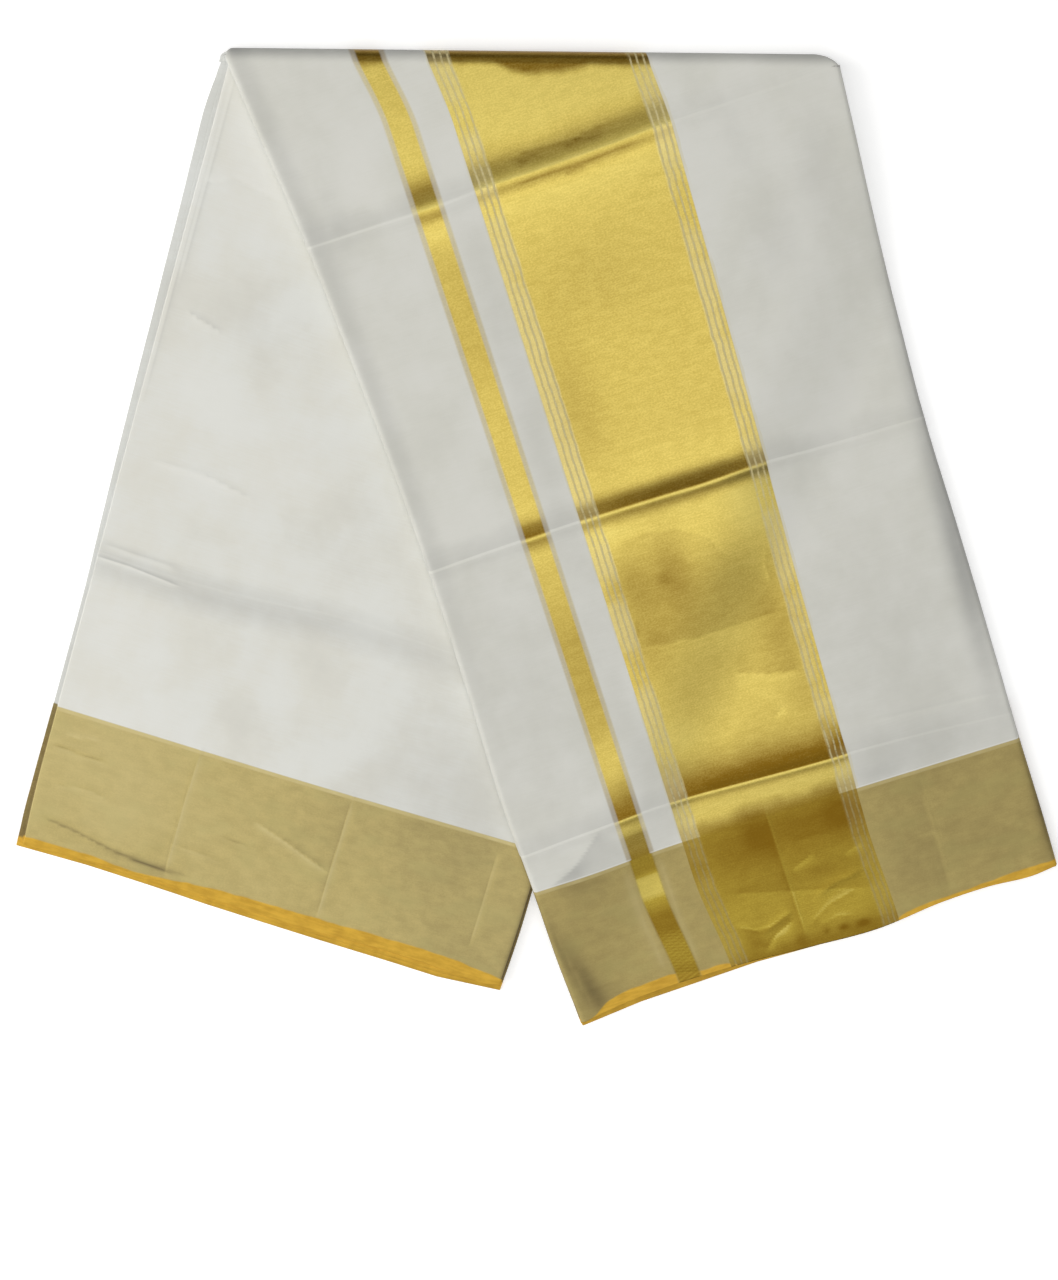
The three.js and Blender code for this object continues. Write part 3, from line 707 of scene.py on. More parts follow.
# back cloth: from inside the fold down to its selvedge
backCloth = {
    "columns": [
        (-172, 1.2), (-160, 2.2), (-78, 2.2), (-75, 0.8), (-71, 0.8), (-68, 2.2), (28, 2.2), (31, 0.8),
        (36, 0.8), (39, 2.2), (136, 2.2), (138, 1), (144, 1), (146, 2.2), (172, 1.6),
    ],
    "rows": [2.3, 2.3, 1.7],
    "fine": 0.6,
    "fineReach": 7,
    "startGap": 0.3,
    "thickness": 0.45,
    # distance, height, softness of the bend
    "crease": [(-9, 0, 2), (0, 1.1, 0.5), (2.5, 1.0, 0.5), (7, 0.2, 1.5), (14, 0, 3)],
    "strength": [(-175, 1), (-110, 0.8), (-60, 0.4), (-10, 0.22), (60, 0.15), (120, 0.05), (180, 0)],
    "wrinkles": [
        ([(-73, 484), (-74, 530), (-73, 579)], 0.45, 1.5, 0.06),
        ([(33, 484), (33.5, 530), (34.5, 581)], 0.45, 1.5, 0.06),
        ([(139, 500), (142, 565)], 0.35, 1.6, 0.1), ([(-167, 135), (-151, 127)], 0.5, 2.5, 0.25),
        ([(-154, 214.5), (-137, 219)], 0.45, 2.2, 0.25),
        ([(-152, 309), (-120, 308), (-88, 313)], 0.5, 2.0, 0.25),
        ([(-161, 567.5), (-138, 570.5), (-111, 576.5), (-61, 579.5)], -0.7, 1.4, 0.25),
        ([(-23, 527), (-2, 533), (31, 546)], 0.7, 2.0, 0.25),
        ([(-168, 512), (-151, 509), (-133, 514)], 0.45, 1.8, 0.25),
        ([(-160, 384), (-134, 385), (-108, 384)], 0.4, 2, 0.25),
    ],
    # painted shade and painted light on either side of bent lines: path, reach, tone before it and past it
    "ledges": [
        ([(-165, 566.5), (-138, 570.5), (-111, 576.5), (-90, 579), (-54, 579.5)], 1.6, 0.95, 0.1),
        ([(-168, 568), (-138, 571), (-111, 577), (-58, 580)], 7, 0.05, 0.22),
        ([(-27, 525), (-2, 533), (34, 547)], 2.2, 0.2, -0.8),
        ([(-73, 486), (-74, 530), (-73, 584)], 1.6, -0.85, 0.4),
        ([(33, 486), (33.5, 530), (34.5, 585)], 1.6, -1, 0.4), ([(139, 496), (142, 570)], 1.6, -0.7, 0.2),
        ([(-168, 514), (-150, 515.5), (-128, 516.5)], 1.6, 0.6, -0.3),
        ([(-162, 506), (-138, 502)], 1.8, -0.45, 0.2),
        ([(-160, 541), (-138, 538), (-122, 541)], 2, 0.22, -0.3),
        ([(-44, 543.5), (-24, 545.5)], 1.6, 0.35, -0.2), ([(-70, 559), (-38, 561)], 1.6, 0.3, -0.3),
        ([(-158, 310), (-120, 308), (-84, 314)], 1.6, 0.3, -0.35),
        ([(-174, 380), (-150, 380), (-114, 383)], 1.6, 0.5, -0.5),
        ([(-172, 372), (-148, 372), (-118, 373)], 1.5, 0.4, -0.45),
        ([(-172, 138), (-150, 128), (-118, 133)], 3, -0.2, 0.16),
        ([(-158, 213), (-134, 219)], 1.8, 0.35, -0.4),
        ([(-170.6, 64), (-170, 140), (-170, 280)], 1.3, 0.5, -0.5),
        ([(-167.2, 66), (-166.6, 120), (-167, 200)], 1.3, 0.35, -0.4),
    ],
    "swells": [(-60, 260, 70, 50, 0.6, 15), (-110, 430, 60, 30, 0.5, -10), (0, 470, 70, 40, 0.5, 10)],
    # painted shade along the crease: distance, tone
    "creaseTone": [(-12, 0), (-6, 0.16), (-1, 0.26), (0, 0.2), (2, 0.34), (8, 0.4), (15, 0.22), (24, 0)],
    # patches of painted shade and painted light: across, along, size across and along, tone and, if turned,
    # degrees
    "patches": [
        (100, 470, 70, 70, 0.22), (-130, 90, 45, 60, -0.28), (-110, 300, 60, 70, -0.06, 20),
        (-90, 190, 30, 24, 0.07, 30), (-40, 330, 40, 18, 0.07, 10), (-120, 350, 30, 16, 0.08),
        (-30, 430, 50, 16, -0.07, 5), (150, 560, 60, 70, 0.1), (-150, 470, 50, 120, -0.12),
        (-120, 530, 60, 50, -0.2), (0, 560, 60, 24, -0.05), (-118, 215, 22, 30, 0.1, -20),
        (-60, 205, 16, 30, -0.08, -30), (-140, 250, 22, 26, -0.1), (-70, 292, 26, 14, -0.08, 10),
        (-20, 300, 26, 16, 0.06, 20), (-146, 418, 24, 16, -0.1), (-60, 455, 30, 14, 0.05),
        (-166, 110, 5, 60, 0.1), (-10, 84, 130, 50, -0.14),
    ],
    # how strong the painted crease shade is: across, share
    "toneStrength": [(-175, 0.9), (-100, 1), (-60, 0.9), (-10, 0.75), (60, 0.5), (120, 0.2), (180, 0)],
    "borderFrom": (484, 490),
    # painted shade beside the right long edge on the border, and on its rounded fold
    "edgeTone": {"tone": 0.9, "reach": 1.6, "rim": 0.25},
    "reliefFades": {"across": (400, 0), "beside": (0, 8)},
}


# painted shade along the crease, painted shade and light beside the wrinkles and in patches, and painted
# shade beside the right long edge and on its rounded fold
def backTones(across, along, side):
    shade = curveThrough(backCloth["toneStrength"])(across)
    ground = shade * straightThrough(backCloth["creaseTone"], along - backLeg["crease"](across))
    ground += swellHeight(across, along, backCloth["patches"])
    ground += ledgeTone(across, along, backCloth["ledges"])
    edge = backCloth["edgeTone"]
    beside = np.exp(-np.abs(backLeg["right"](along) - across) / edge["reach"])
    onBorder = smooth(along, *backCloth["borderFrom"])
    ground += onBorder * edge["tone"] * beside + edge["rim"] * (side > 0)
    return np.clip(ground, -1, 1)


def backHeights(across, along):
    total = swellHeight(across, along, backCloth["swells"])
    total += wrinkleHeight(across, along, backCloth["wrinkles"])
    strength = curveThrough(backCloth["strength"])(across)
    return total + strength * softHinges(along - backLeg["crease"](across), backCloth["crease"])


def makeBackCloth():
    columns = sheetColumns(backLeg, backCloth["columns"])
    layers = {name: [] for name in ("points", "across", "along", "pastPly", "groundTone")}
    fades = backCloth["reliefFades"]
    start = crestAlong(backLean, crestEnd - backCloth["startGap"])
    guides = [start, crestAlong(backLean, settledEnd), backLeg["crease"], clothEnd(backLeg)]
    for line in spanRows(guides, backCloth):
        u, v, drop, weave = sheetRow(backLeg, columns, line)
        x, y = toPlan(backLean, u, v)
        shown = smooth(x, *fades["across"]) * smooth(clearOfFront(x, y), *fades["beside"])
        z = backPileTop(y) + fold["skin"] - drop + backHeights(u, v) * relaxed(y) * shown
        tone = backTones(u, v, columns["side"])
        pastPly = v - backLeg["orange"](u)
        addRow(layers, np.stack([x, y, z], -1), weave, weaveAlong(backLeg, u, v), pastPly, tone)
    return gridMesh("back_cloth", layers, backCloth["thickness"])


# how far a place lies to the left of the front leg's left edge
def clearOfFront(x, y):
    across = x * cosine + y * sine
    along = x * sine - y * cosine
    return frontLeg["left"](along) - across


# hidden folds: one doubled ply, repeated down through the pile
folds = {
    "levels": 7,
    "thickness": 0.8,
    "edgePoints": 7,
    "flatPoints": 7,
    "rows": [4.0, 4.0],
    "fine": 1.5,
    "fineReach": 6,
    "crestRows": 18,
    "crestReach": 0.95,
    "crestTurnsFront": (-1, 0.4),
    "inset": 1.2,
    "trailStep": 1.5,
    "endRows": 3,
    "endEase": 0.1,
    # shares of the side step and of the end step at each level, at the back and at the front
    "lead": [1, 0.96, 0.3, 0.42, 0.1, 0.2, 0],
    "leadEnd": [1, 0.97, 0.8, 0.62, 0.5, 0.36, 0.2],
    "trail": [-0.9, 0.1, 0.0, 0.8, 0.3, 0.7, 0.2],
    "trailEnd": [0.25, 0.42, 0.5, 0.68, 0.8, 0.98, 1],
    # unevenness of the edges
    "seed": 11,
    "waver": 0.5,
    "leadWaver": 0.5,
    "endWaver": 0.3,
    "waverScale": 9.0,
    "levelApart": 3.7,
}


# rows along the pile, from the back leg's end over the crest to the front leg's end
def pileStations():
    def backPlace(line):
        def put(across, down):
            x, y = toPlan(backLean, across, line(across))
            underTuck = y > crestEnd - fold["tuck"] - fold["tuckGap"]
            start = np.where(underTuck, fold["skin"], 0.0)
            return np.stack([x, y, start + down * (backPileTop(y) - start) / fold["pile"]], -1)

        return put

    def frontPlace(line):
        def put(across, down):
            x, y = toPlan(frontLean, across, line(across))
            scale = mix(fold["squeezed"], fold["pile"], relaxed(y)) / fold["pile"]
            return np.stack([x, y, frontUnderside(x, y) + fold["pile"] - down * scale], -1)

        return put

    def crestPlace(turn):
        def put(across, down):
            radius = fold["crestRadius"] - fold["skin"] - down * fold["squeezed"] / fold["pile"]
            x = (across + fold["crestRadius"] * sine * turn) / cosine
            y = crestEnd + radius * math.cos(turn * quarter)
            return np.stack([x, y, fold["crestRadius"] + radius * math.sin(turn * quarter)], -1)

        return put

    stations = []
    backGuides = [crestAlong(backLean, crestEnd), crestAlong(backLean, settledEnd), backLeg["plyEnd"]]
    for line in reversed(spanRows(backGuides, folds)):
        stations.append({"leg": backLeg, "line": line, "put": backPlace(line), "front": 0.0})
    crestLine = crestAlong(frontLean, crestEnd)
    for turn in np.linspace(-folds["crestReach"], folds["crestReach"], folds["crestRows"]):
        station = {"leg": frontLeg, "line": crestLine, "put": crestPlace(turn)}
        share = float(smooth(turn, *folds["crestTurnsFront"]))
        stations.append({**station, "front": share, "insets": crestInsets(turn)})
    frontGuides = [crestLine, crestAlong(frontLean, settledEnd), frontLeg["plyEnd"]]
    for line in spanRows(frontGuides, folds):
        stations.append({"leg": frontLeg, "line": line, "put": frontPlace(line), "front": 1.0})
    return stations


# points of the ply's outline: round left edge, upper side, round right edge, lower side
def plyOutline():
    half = folds["thickness"] / 2
    angles = np.radians(np.linspace(-90, 90, folds["edgePoints"]))
    flat = np.linspace(0, 1, folds["flatPoints"] + 2)[1:-1]
    none, ends = 0 * flat, np.ones(folds["edgePoints"])
    share = np.concatenate([0 * ends, flat, ends, flat[::-1]])
    side = np.concatenate([-ends, none, ends, none])
    reach = np.concatenate([-np.cos(angles), none, np.cos(angles), none]) * half
    height = np.concatenate([np.sin(angles), none + 1, np.sin(angles[::-1]), none - 1]) * half
    return share, side, reach, height


# the outermost hidden ply: flat, with round long edges and the ways that its copies shift
def makeFoldPly():
    stations = pileStations()
    share, side, reach, height = plyOutline()
    pitch, inset = fold["pile"] / folds["levels"], folds["inset"]
    down = pitch / 2 - height
    wanted = ("points", "across", "along", "inward", "leadOut", "trailOut", "lead", "trail", "pastPly")
    layers = {name: [] for name in wanted}
    for order, station in enumerate(stations):
        leg, line, put, onFront = (station[name] for name in ("leg", "line", "put", "front"))
        across, along, _ = fitRow(leg, line, share, inset, reach, station.get("insets", (0, 0)))
        place = put(across, down)
        inward = put(across, down + 1) - place
        sideways = (put(across + 1, down) - place) * side[:, None]
        out = np.where(side < 0, backLeg["foldsLeft"](along), backLeg["foldsRight"](along)) + inset
        lean = backLean if onFront == 0 else frontLean
        lengthway = np.array([lean * sine, -cosine, 0.0])
        fromEnd = min(order, len(stations) - 1 - order)
        spare = leg["pileEnd"](across) - leg["plyEnd"](across)
        spare = spare * (1 - folds["endEase"] * fromEnd) * (fromEnd < folds["endRows"])
        atFront = order > len(stations) / 2
        addRow(
            layers, place, across, weaveAlong(leg, across, along), inward * pitch,
            sideways * (out * (1 - onFront))[:, None], sideways * folds["trailStep"] * onFront,
            lengthway * (spare * (not atFront))[:, None], lengthway * (spare * atFront)[:, None],
            along - leg["plyEnd"](across),
        )

    rows, columns = len(stations), len(share)
    index = np.arange(rows * columns).reshape(rows, columns)
    after = np.roll(index, -1, axis=1)
    faces = np.stack([index[:-1], after[:-1], after[1:], index[1:]], -1).reshape(-1, 4).tolist()
    middle = folds["edgePoints"] // 2
    for start in (0, (rows - 1) * columns):
        for step in range(columns // 2 - 1):
            low, high = middle + 1 + step, columns + middle - step
            ring = [start + corner % columns for corner in (low, low + 1, high - 1, high)]
            faces.append(ring if start else ring[::-1])
    return meshFrom("fold_ply", layers, faces)


# one point for each hidden level, with its shares of the side and end steps
def makeLevels():
    mesh = bpy.data.meshes.new("levels")
    mesh.from_pydata([(0, 0, level * 0.001) for level in range(folds["levels"])], [], [])
    for name in ("lead", "leadEnd", "trail", "trailEnd"):
        layer = mesh.attributes.new(name, "FLOAT", "POINT")
        layer.data.foreach_set("value", folds[name])
    return addObject("levels", mesh)


# a node socket that takes part in sums like a number
class Wire:

    def __init__(self, tree, socket):
        self.tree = tree
        self.socket = socket

    def output(self, name):
        return Wire(self.tree, self.socket.node.outputs[name])

    def calculate(self, operation, *others):
        isVector = self.tree.bl_idname == "GeometryNodeTree" and self.socket.type == "VECTOR"
        kind = "ShaderNodeVectorMath" if isVector else "ShaderNodeMath"
        return addNode(self.tree, kind, {"operation": operation}, dict(enumerate((self, *others))))

    def __add__(self, other):
        return self.calculate("ADD", other)

    def __sub__(self, other):
        return self.calculate("SUBTRACT", other)

    def __rsub__(self, other):
        return self.calculate("MULTIPLY", -1.0).calculate("ADD", other)

    def __mul__(self, other):
        return self.calculate("MULTIPLY", other)

    def __abs__(self):
        return self.calculate("ABSOLUTE")

    __radd__, __rmul__ = __add__, __mul__


def feed(tree, target, value):
    if isinstance(value, Wire):
        tree.links.new(value.socket, target)
    else:
        target.default_value = value


# adds one node with its settings and then its sockets, and returns its output as a wire
def addNode(tree, kind, settings=None, sockets=None, output=0):
    node = tree.nodes.new(kind)
    for name, value in (settings or {}).items():
        setattr(node, name, value)
    for name, value in (sockets or {}).items():
        feed(tree, node.inputs[name], value)
    return Wire(tree, node.outputs[output]) if len(node.outputs) else node


# repeats the doubled ply at every level and shifts its edges and ends
def foldStack(ply, levels, material):
    tree = bpy.data.node_groups.new("fold_stack", "GeometryNodeTree")
    add = partial(addNode, tree)
    face = tree.interface
    face.new_socket("Geometry", in_out="INPUT", socket_type="NodeSocketGeometry")
    wanted = {
        "Levels": ("NodeSocketObject", levels),
        "Count": ("NodeSocketInt", folds["levels"]),
        "Waver": ("NodeSocketFloat", folds["waver"]),
        "Seed": ("NodeSocketInt", folds["seed"]),
        "Cloth": ("NodeSocketMaterial", material),
    }
    keys = {}
    for name, (kind, _) in wanted.items():
        keys[name] = face.new_socket(name, in_out="INPUT", socket_type=kind).identifier
    face.new_socket("Geometry", in_out="OUTPUT", socket_type="NodeSocketGeometry")
    given = add("NodeGroupInput")

    single = add("GeometryNodeGeometryToInstance", sockets={"Geometry": given})
    copies = add(
        "GeometryNodeDuplicateElements", {"domain": "INSTANCE"},
        {"Geometry": single, "Amount": given.output("Count")},
    )
    marked = add(
        "GeometryNodeStoreNamedAttribute", {"domain": "INSTANCE", "data_type": "INT"},
        {"Geometry": copies, "Name": "level", "Value": copies.output("Duplicate Index")},
    )
    whole = add("GeometryNodeRealizeInstances", sockets={"Geometry": marked})

    def stored(name, kind):
        return add("GeometryNodeInputNamedAttribute", {"data_type": kind}, {"Name": name})

    level = stored("level", "INT")
    table = add("GeometryNodeObjectInfo", sockets={"Object": given.output("Levels")}, output="Geometry")

    def fromTable(name):
        return add(
            "GeometryNodeSampleIndex", {"data_type": "FLOAT", "domain": "POINT"},
            {"Geometry": table, "Value": stored(name, "FLOAT"), "Index": level},
        )

    def scaled(vector, factor):
        return add("ShaderNodeVectorMath", {"operation": "SCALE"}, {0: vector, "Scale": factor})

    def shift(name, factor):
        return scaled(stored(name, "FLOAT_VECTOR"), factor)

    place = add("GeometryNodeInputPosition")
    apart = add("ShaderNodeCombineXYZ", sockets={"Z": level * folds["levelApart"] + given.output("Seed")})
    waver = add(
        "ShaderNodeTexNoise", {"noise_dimensions": "3D"},
        {"Vector": scaled(place, folds["waverScale"]) + apart, "Scale": 1.0, "Detail": 2.0},
    )
    waver = (waver - 0.5) * given.output("Waver")
    endWaver = 1.0 + waver * folds["endWaver"]
    total = shift("inward", level)
    total = total + shift("leadOut", fromTable("lead") + waver * folds["leadWaver"])
    total = total + shift("trailOut", fromTable("trail") + waver)
    total = total + shift("lead", fromTable("leadEnd") * endWaver)
    total = total + shift("trail", fromTable("trailEnd") * endWaver)
    moved = add("GeometryNodeSetPosition", sockets={"Geometry": whole, "Offset": scaled(total, 0.001)})
    moved = add("GeometryNodeRealizeInstances", sockets={"Geometry": moved})
    done = add("GeometryNodeSetMaterial", sockets={"Geometry": moved, "Material": given.output("Cloth")})
    add("NodeGroupOutput", sockets={"Geometry": done})

    stack = ply.modifiers.new("fold_stack", "NODES")
    stack.node_group = tree
    for name, (_, value) in wanted.items():
        stack[keys[name]] = value
    bpy.context.view_layer.update()
    graph = bpy.context.evaluated_depsgraph_get()
    made = bpy.data.meshes.new_from_object(
        ply.evaluated_get(graph), preserve_all_data_layers=True, depsgraph=graph
    )
    made.name = "hidden_folds"
    piece = addObject("hidden_folds", made)
    for helper in (ply, levels):
        bpy.data.objects.remove(helper)
    return piece


# dyes and painted light: cotton ground and woven tissue of each cloth, then the gold thread that they share;
# each Shade colour is painted shade and each Light colour is painted light, and tissueLight is also the pale
# strip at the border's top
dyesAndPaintedLight = {
    # the front's colours are a darker copy of the back's: painted shade
    "front": {
        "cotton": (0.7, 0.697, 0.645),
        "cottonWarm": (0.68, 0.676, 0.612),
        "cottonShade": (0.37, 0.37, 0.35),
        "cottonLight": (0.85, 0.84, 0.79),
        "tissue": (0.47, 0.375, 0.14),
        "tissueDeep": (0.404, 0.318, 0.117),
        "tissueShade": (0.105, 0.072, 0.03),
        "tissueLight": (0.57, 0.475, 0.228),
        "tissueGreen": (0.418, 0.354, 0.13),
    },
    "back": {
        "cotton": (0.76, 0.765, 0.72),
        "cottonWarm": (0.742, 0.733, 0.664),
        "cottonShade": (0.385, 0.385, 0.367),
        "cottonLight": (0.87, 0.86, 0.815),
        "tissue": (0.57, 0.466, 0.19),
        "tissueDeep": (0.485, 0.394, 0.157),
        "tissueShade": (0.133, 0.1, 0.048),
        "tissueLight": (0.665, 0.57, 0.285),
        "tissueGreen": (0.513, 0.442, 0.18),
    },
    # the hidden folds' colours are darker, greyer copies of the cloth's: painted shade
    "pile": {
        "cotton": (0.69, 0.7, 0.675),
        "cottonWarm": (0.63, 0.635, 0.6),
        "tissue": (0.29, 0.215, 0.08),
        "tissueDeep": (0.2, 0.145, 0.05),
        "tissueLight": (0.3, 0.25, 0.1),
        "tissueGreen": (0.24, 0.2, 0.08),
    },
    "shared": {
        "gold": (0.675, 0.535, 0.135),
        "goldDeep": (0.56, 0.434, 0.097),
        "goldShade": (0.172, 0.092, 0.004),
        "borderGold": (0.42, 0.31, 0.042),
        "borderGoldDeep": (0.34, 0.245, 0.03),
        "goldLight": (0.92, 0.79, 0.24),
        "selvedge": (0.74, 0.45, 0.052),
        "selvedgeDeep": (0.57, 0.33, 0.034),
        "line": (0.62, 0.555, 0.31),
    },
}

# noise in the weave: scale across and along, detail, and a place of its own in the noise
patterns = {
    "clouds": (0.022, 0.018, 4.0, 2.0),
    "slubs": (0.05, 0.9, 2.0, 5.0),
    "grain": (0.75, 1.1, 2.0, 8.0),
    "streaks": (0.06, 0.4, 4.0, 11.0),
    "mottle": (0.09, 0.12, 4.0, 13.0),
    "speckle": (0.12, 0.2, 3.0, 17.0),
    "fray": (0.05, 0.05, 2.0, 21.0),
    "worn": (0.3, 0.35, 2.0, 23.0),
    "tarnish": (0.03, 0.045, 3.0, 27.0),
    "weft": (2.2, 0.25, 1.0, 31.0),
    "warp": (0.25, 2.2, 1.0, 35.0),
    "faded": (0.02, 0.022, 2.0, 41.0),
    "wander": (0.05, 0.09, 1.0, 43.0),
}

# woven bands, in millimetres across the leg, and how the thread takes the light
finish = {
    "wide": (-61.9, 62.4),
    "middle": 0.7,
    "wander": 1.6,
    "lines": (50.0, 61.0),
    "linesGround": (49.5, 63.5),
    "firstLine": 51.0,
    "lineHalf": 2.0,
    "lineWidth": (-1.0, 0.6, 0.25),
    "lineShare": (0.62, 0.22),
    "groundShare": (0.36, 0.26),
    "core": (-99.3, -84.8),
    "coreGrows": (1.2, 0.8),
    "coreSoft": 1.2,
    "sides": (-102.0, -82.3, 0.9),
    "borderTop": (2.6, 0.6),
    "ageing": (-8.0, 2.0),
    "edge": (0.6, 2.2),
    "pileEdge": (-4.0, -3.0),
    "fray": 3.0,
    # where a noise turns from one dye to the other, and by how much
    "even": (0.36, 0.64),
    "goldEven": (0.36, 0.62),
    "orangeEven": (0.34, 0.66),
    "tarnish": (0.48, 0.66),
    "tarnishShare": 0.4,
    "worn": (0.36, 0.54),
    "wornShare": 0.6,
    "faded": (0.34, 0.54),
    "groundClouds": (0.42, 0.06, 0.12),
    "borderShine": 0.3,
    "goldShine": 0.85,
    "rough": 0.85,
    "polish": 0.58,
    "specular": 0.25,
    "threadDepth": 0.00012,
    "threadStrength": 0.35,
}


# cloth finish: its cotton and border colours, with or without the woven bands, and when toned with painted
# shade and painted light from the tone fields
def clothMaterial(name, kind, border, striped=False, toned=True):
    dyeAndPaintedLight = {title: (*colour, 1) for title, colour in {**dyesAndPaintedLight["shared"], **dyesAndPaintedLight[kind]}.items()}
    material = bpy.data.materials.new(name)
    material.use_nodes = True
    tree = material.node_tree
    tree.nodes.clear()
    add = partial(addNode, tree)
    u = add("ShaderNodeSeparateXYZ", sockets={0: add("ShaderNodeUVMap", {"uv_map": "weave"})})
    v = u.output(1)

    def ramp(value, start, end):
        return add(
            "ShaderNodeMapRange", {"interpolation_type": "SMOOTHSTEP"},
            {"Value": value, "From Min": start, "From Max": end},
        )

    def strip(value, start, end, soft=0.35):
        return ramp(value, start - soft, start + soft) * (1.0 - ramp(value, end - soft, end + soft))

    def larger(first, second):
        return first.calculate("MAXIMUM", second)

    def blend(factor, first, second):
        settings = {"data_type": "RGBA", "clamp_factor": True}
        return add("ShaderNodeMix", settings, {0: factor, 6: first, 7: second}, output=2)

    def noise(pattern):
        scaleU, scaleV, detail, apart = patterns[pattern]
        vector = add("ShaderNodeCombineXYZ", sockets={"X": u * scaleU, "Y": v * scaleV, "Z": apart})
        return add(
            "ShaderNodeTexNoise", {"noise_dimensions": "3D"},
            {"Vector": vector, "Scale": 1.0, "Detail": detail, "Roughness": 0.55},
        )

    def field(title):
        return add("ShaderNodeAttribute", {"attribute_name": title}, output=2)

    # painted shade and painted light: darker towards the shade colour where the tone is above 0, brighter
    # towards the light colour below it
    def paintShadeAndLight(base, shade, light, tone):
        return blend(larger(tone * -1.0, 0.0), blend(larger(tone, 0.0), base, dyeAndPaintedLight[shade]), dyeAndPaintedLight[light])

    clouds, slubs, grain = noise("clouds"), noise("slubs"), noise("grain")
    streaks, mottle = noise("streaks"), noise("mottle")

    warmth = ramp(clouds * 0.8 + slubs * 0.2, *finish["even"])
    colour = blend(warmth, dyeAndPaintedLight["cotton"], dyeAndPaintedLight["cottonWarm"])
    depth = ramp(streaks * 0.2 + grain * 0.35 + mottle * 0.45, *finish["even"])
    tissue = blend(depth, dyeAndPaintedLight["tissue"], dyeAndPaintedLight["tissueDeep"])
    tarnish = ramp(noise("tarnish"), *finish["tarnish"]) * finish["tarnishShare"]
    tissue = blend(tarnish, tissue, dyeAndPaintedLight["tissueGreen"])
    # painted shade and painted light on the cotton and the border, from the groundTone field with random
    # clouds
    if toned:
        ground = field("groundTone")
        for pattern, share in zip((clouds, slubs, mottle), finish["groundClouds"]):
            ground = ground + (pattern - 0.5) * share
        colour = paintShadeAndLight(colour, "cottonShade", "cottonLight", ground)
        tissue = paintShadeAndLight(tissue, "tissueShade", "tissueLight", ground)
    topWidth, topSoft = finish["borderTop"]
    top = strip(v, border, border + topWidth, topSoft) * mottle * 1.2
    tissue = blend(top, tissue, dyeAndPaintedLight["tissueLight"])
    inBorder = ramp(v, border - 0.5, border + 0.5)
    colour = blend(inBorder, colour, tissue)
    shine = inBorder * finish["borderShine"]

    if striped:
        # painted shade and painted highlight on the gold, from the goldTone field with random speckle
        tone = field("goldTone")
        speckle = grain * 0.55 + slubs * 0.2 + noise("speckle") * 0.25
        tone = tone + (speckle - 0.5) * (larger(tone, 0.0) * 0.4 + 0.25)
        goldDepth = ramp(speckle, *finish["goldEven"])
        gold = blend(goldDepth, dyeAndPaintedLight["gold"], dyeAndPaintedLight["goldDeep"])
        old = blend(goldDepth, dyeAndPaintedLight["borderGold"], dyeAndPaintedLight["borderGoldDeep"])
        gold = blend(ramp(v, border + finish["ageing"][0], border + finish["ageing"][1]), gold, old)
        gold = paintShadeAndLight(gold, "goldShade", "goldLight", tone)

        # fine lines beside the wide band, on paler ground
        fromMiddle = abs(u - finish["middle"]) + (noise("wander") - 0.5) * finish["wander"]
        line = (fromMiddle - finish["firstLine"]).calculate("PINGPONG", finish["lineHalf"])
        worn = ramp(noise("worn"), *finish["worn"]) * finish["wornShare"] + (1 - finish["wornShare"])
        line = strip(line, *finish["lineWidth"]) * strip(fromMiddle, *finish["lines"]) * worn
        pale = strip(fromMiddle, *finish["linesGround"]) * ramp(noise("faded"), *finish["faded"])

        wide = strip(u, *finish["wide"])
        (coreLeft, coreRight), (growLeft, growRight) = finish["core"], finish["coreGrows"]
        core = strip(u, coreLeft - inBorder * growLeft, coreRight + inBorder * growRight, finish["coreSoft"])
        sides = strip(u, *finish["sides"]) * (1.0 - inBorder) * 0.5
        zari = larger(wide, core)
        colour = blend(larger(zari, sides), colour, gold)
        thread = blend(inBorder * 0.8, dyeAndPaintedLight["line"], dyeAndPaintedLight["tissue"])
        for mask, (share, lessInBorder) in ((pale, finish["groundShare"]), (line, finish["lineShare"])):
            colour = blend(mask * (share - inBorder * lessInBorder), colour, thread)
        cream = strip(v, border - 1.0, border - 0.1, 0.3) * (1.0 - zari)
        colour = blend(cream * 0.4, colour, dyeAndPaintedLight["cottonLight"])
        zari = zari * (1.0 - line)
        shine = larger(shine, zari * finish["goldShine"])

    # orange selvedge past the end of the plain cloth
    past = field("pastPly")
    if toned:
        atEdge = ramp(past + noise("fray") * finish["fray"], *finish["edge"])
    else:
        atEdge = ramp(past, *finish["pileEdge"])
    depth = ramp(streaks * 0.5 + mottle * 0.5, *finish["orangeEven"])
    orange = blend(depth, dyeAndPaintedLight["selvedge"], dyeAndPaintedLight["selvedgeDeep"])
    if striped:
        atEdge = atEdge * (1.0 - zari * 0.9)
    colour = blend(atEdge, colour, orange)
    shine = shine * (1.0 - atEdge * 0.6)

    threads = {
        "Height": noise("weft") + noise("warp"),
        "Distance": finish["threadDepth"],
        "Strength": finish["threadStrength"],
    }
    surface = add("ShaderNodeBsdfPrincipled", sockets={
        "Base Color": colour,
        "Metallic": shine,
        "Roughness": finish["rough"] - shine * finish["polish"],
        "Normal": add("ShaderNodeBump", sockets=threads),
        "Specular IOR Level": finish["specular"],
    })
    add("ShaderNodeOutputMaterial", sockets={"Surface": surface})
    return material


frontMaterial = clothMaterial("front_cloth", "front", frontLeg["border"], striped=True)
backMaterial = clothMaterial("back_cloth", "back", backLeg["border"])
foldMaterial = clothMaterial("layered_edges", "pile", backLeg["border"], toned=False)
print("finishes made")

front = makeFrontCloth()
front.data.materials.append(frontMaterial)
print("front cloth", len(front.data.polygons))

back = makeBackCloth()
back.data.materials.append(backMaterial)
print("back cloth", len(back.data.polygons))

inner = foldStack(makeFoldPly(), makeLevels(), foldMaterial)
print("hidden folds", len(inner.data.polygons))


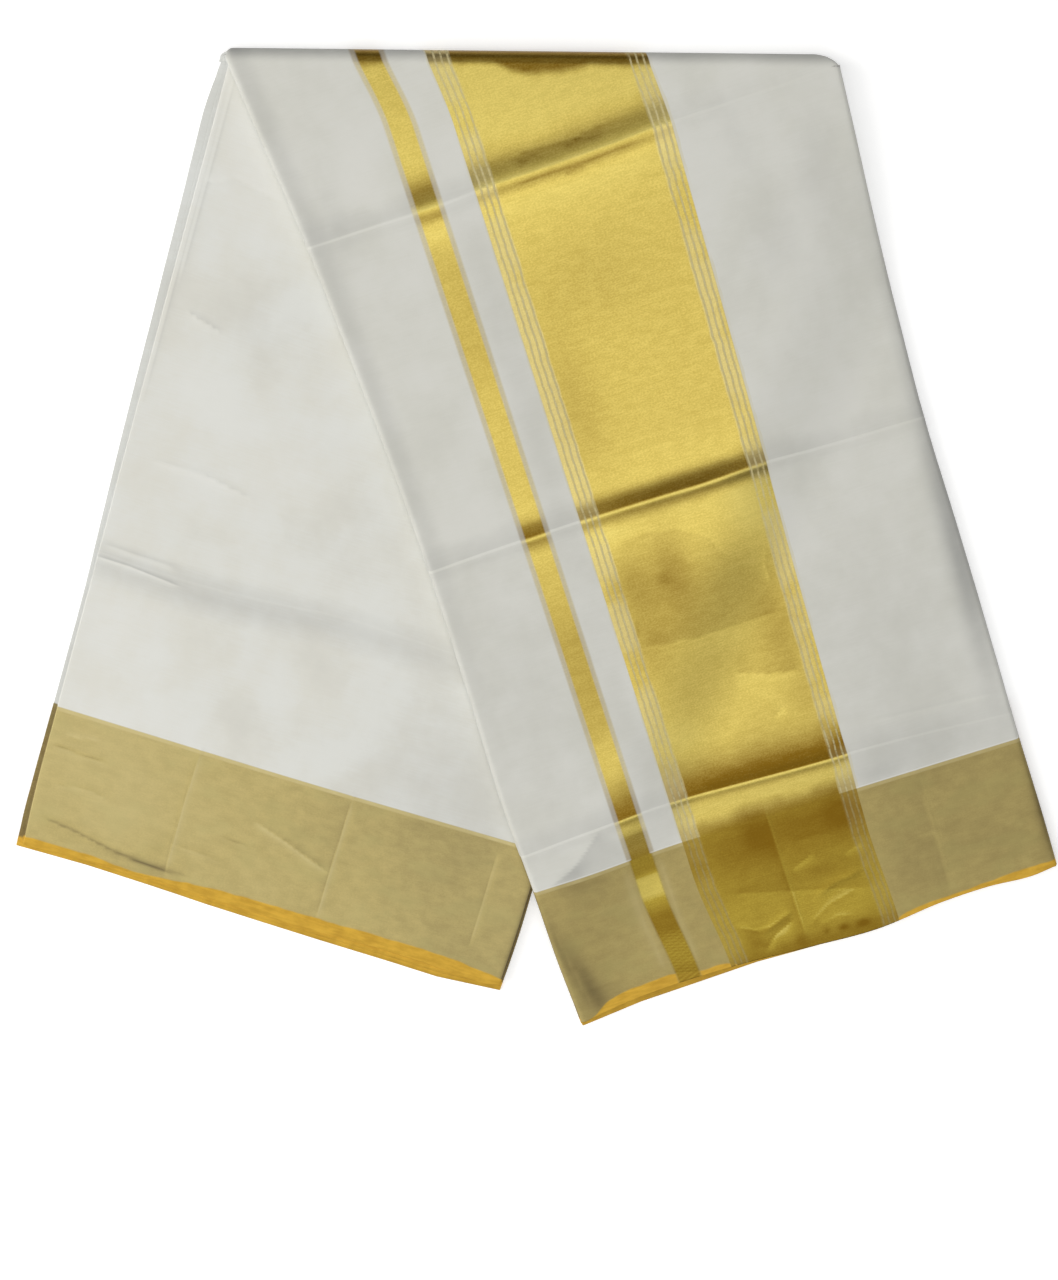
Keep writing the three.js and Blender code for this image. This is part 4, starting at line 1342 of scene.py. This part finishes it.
# surface and light
studio = {
    "floor": (16.0, 16.0),
    "below": 0.0006,
    "paint": {
        "Base Color": (0.95, 0.95, 0.95, 1),
        "Roughness": 0.9,
        "Specular IOR Level": 0.0,
        "Emission Color": (0.95, 0.95, 0.95, 1),
        "Emission Strength": 0.3,
    },
    "fill": (0.15, 0.155, 0.165, 1),
}
lights = {
    "overhead": {"place": (-1.2, 0.05, 4.0), "size": (7.5, 1.5), "power": 57, "colour": (1, 0.99, 0.96)},
    "ahead": {"place": (-1.2, -3.5, 4.0), "size": (7.5, 5.6), "power": 152, "colour": (1, 0.99, 0.97)},
    "left": {"place": (-3.2, 0.3, 1.7), "size": (1.6, 2.6), "power": 56, "colour": (1, 0.98, 0.95),
             "aim": (3.2, -0.3, -1.7)},
    "behind": {"place": (-0.4, 3.9, 4.0), "size": (7.5, 3.8), "power": 46, "colour": (1, 0.99, 0.97)},
}


def makeFloor():
    x, y = (side / 2 for side in studio["floor"])
    corners = [(-x, -y), (x, -y), (x, y), (-x, y)]
    mesh = bpy.data.meshes.new("floor")
    mesh.from_pydata([(*corner, -studio["below"]) for corner in corners], [], [(0, 1, 2, 3)])
    material = bpy.data.materials.new("floor_white")
    material.use_nodes = True
    paint = material.node_tree.nodes["Principled BSDF"]
    for socket, value in studio["paint"].items():
        paint.inputs[socket].default_value = value
    mesh.materials.append(material)
    return addObject("floor", mesh)


def makeLight(name, row):
    data = bpy.data.lights.new(name, "AREA")
    data.shape = "RECTANGLE"
    data.size, data.size_y = row["size"]
    data.energy = row["power"]
    data.color = row["colour"]
    light = bpy.data.objects.new(name, data)
    light.location = row["place"]
    light.rotation_mode = "QUATERNION"
    light.rotation_quaternion = Vector(row.get("aim", (0, 0, -1))).to_track_quat("-Z", "Y")
    bpy.context.scene.collection.objects.link(light)


bpy.context.scene.view_settings.view_transform = "Standard"
world = bpy.data.worlds.new("room")
world.use_nodes = True
world.node_tree.nodes["Background"].inputs["Color"].default_value = studio["fill"]
bpy.context.scene.world = world
floor = makeFloor()
for name, row in lights.items():
    makeLight(name, row)
print("surface and light set")

for piece, node, slot in (
    (front, "front_fall", "front_cloth"),
    (back, "back_fall", "back_cloth"),
    (inner, "inner_folds", "layered_edges"),
):
    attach(piece, "root")
    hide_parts(node)

print("scene finished")
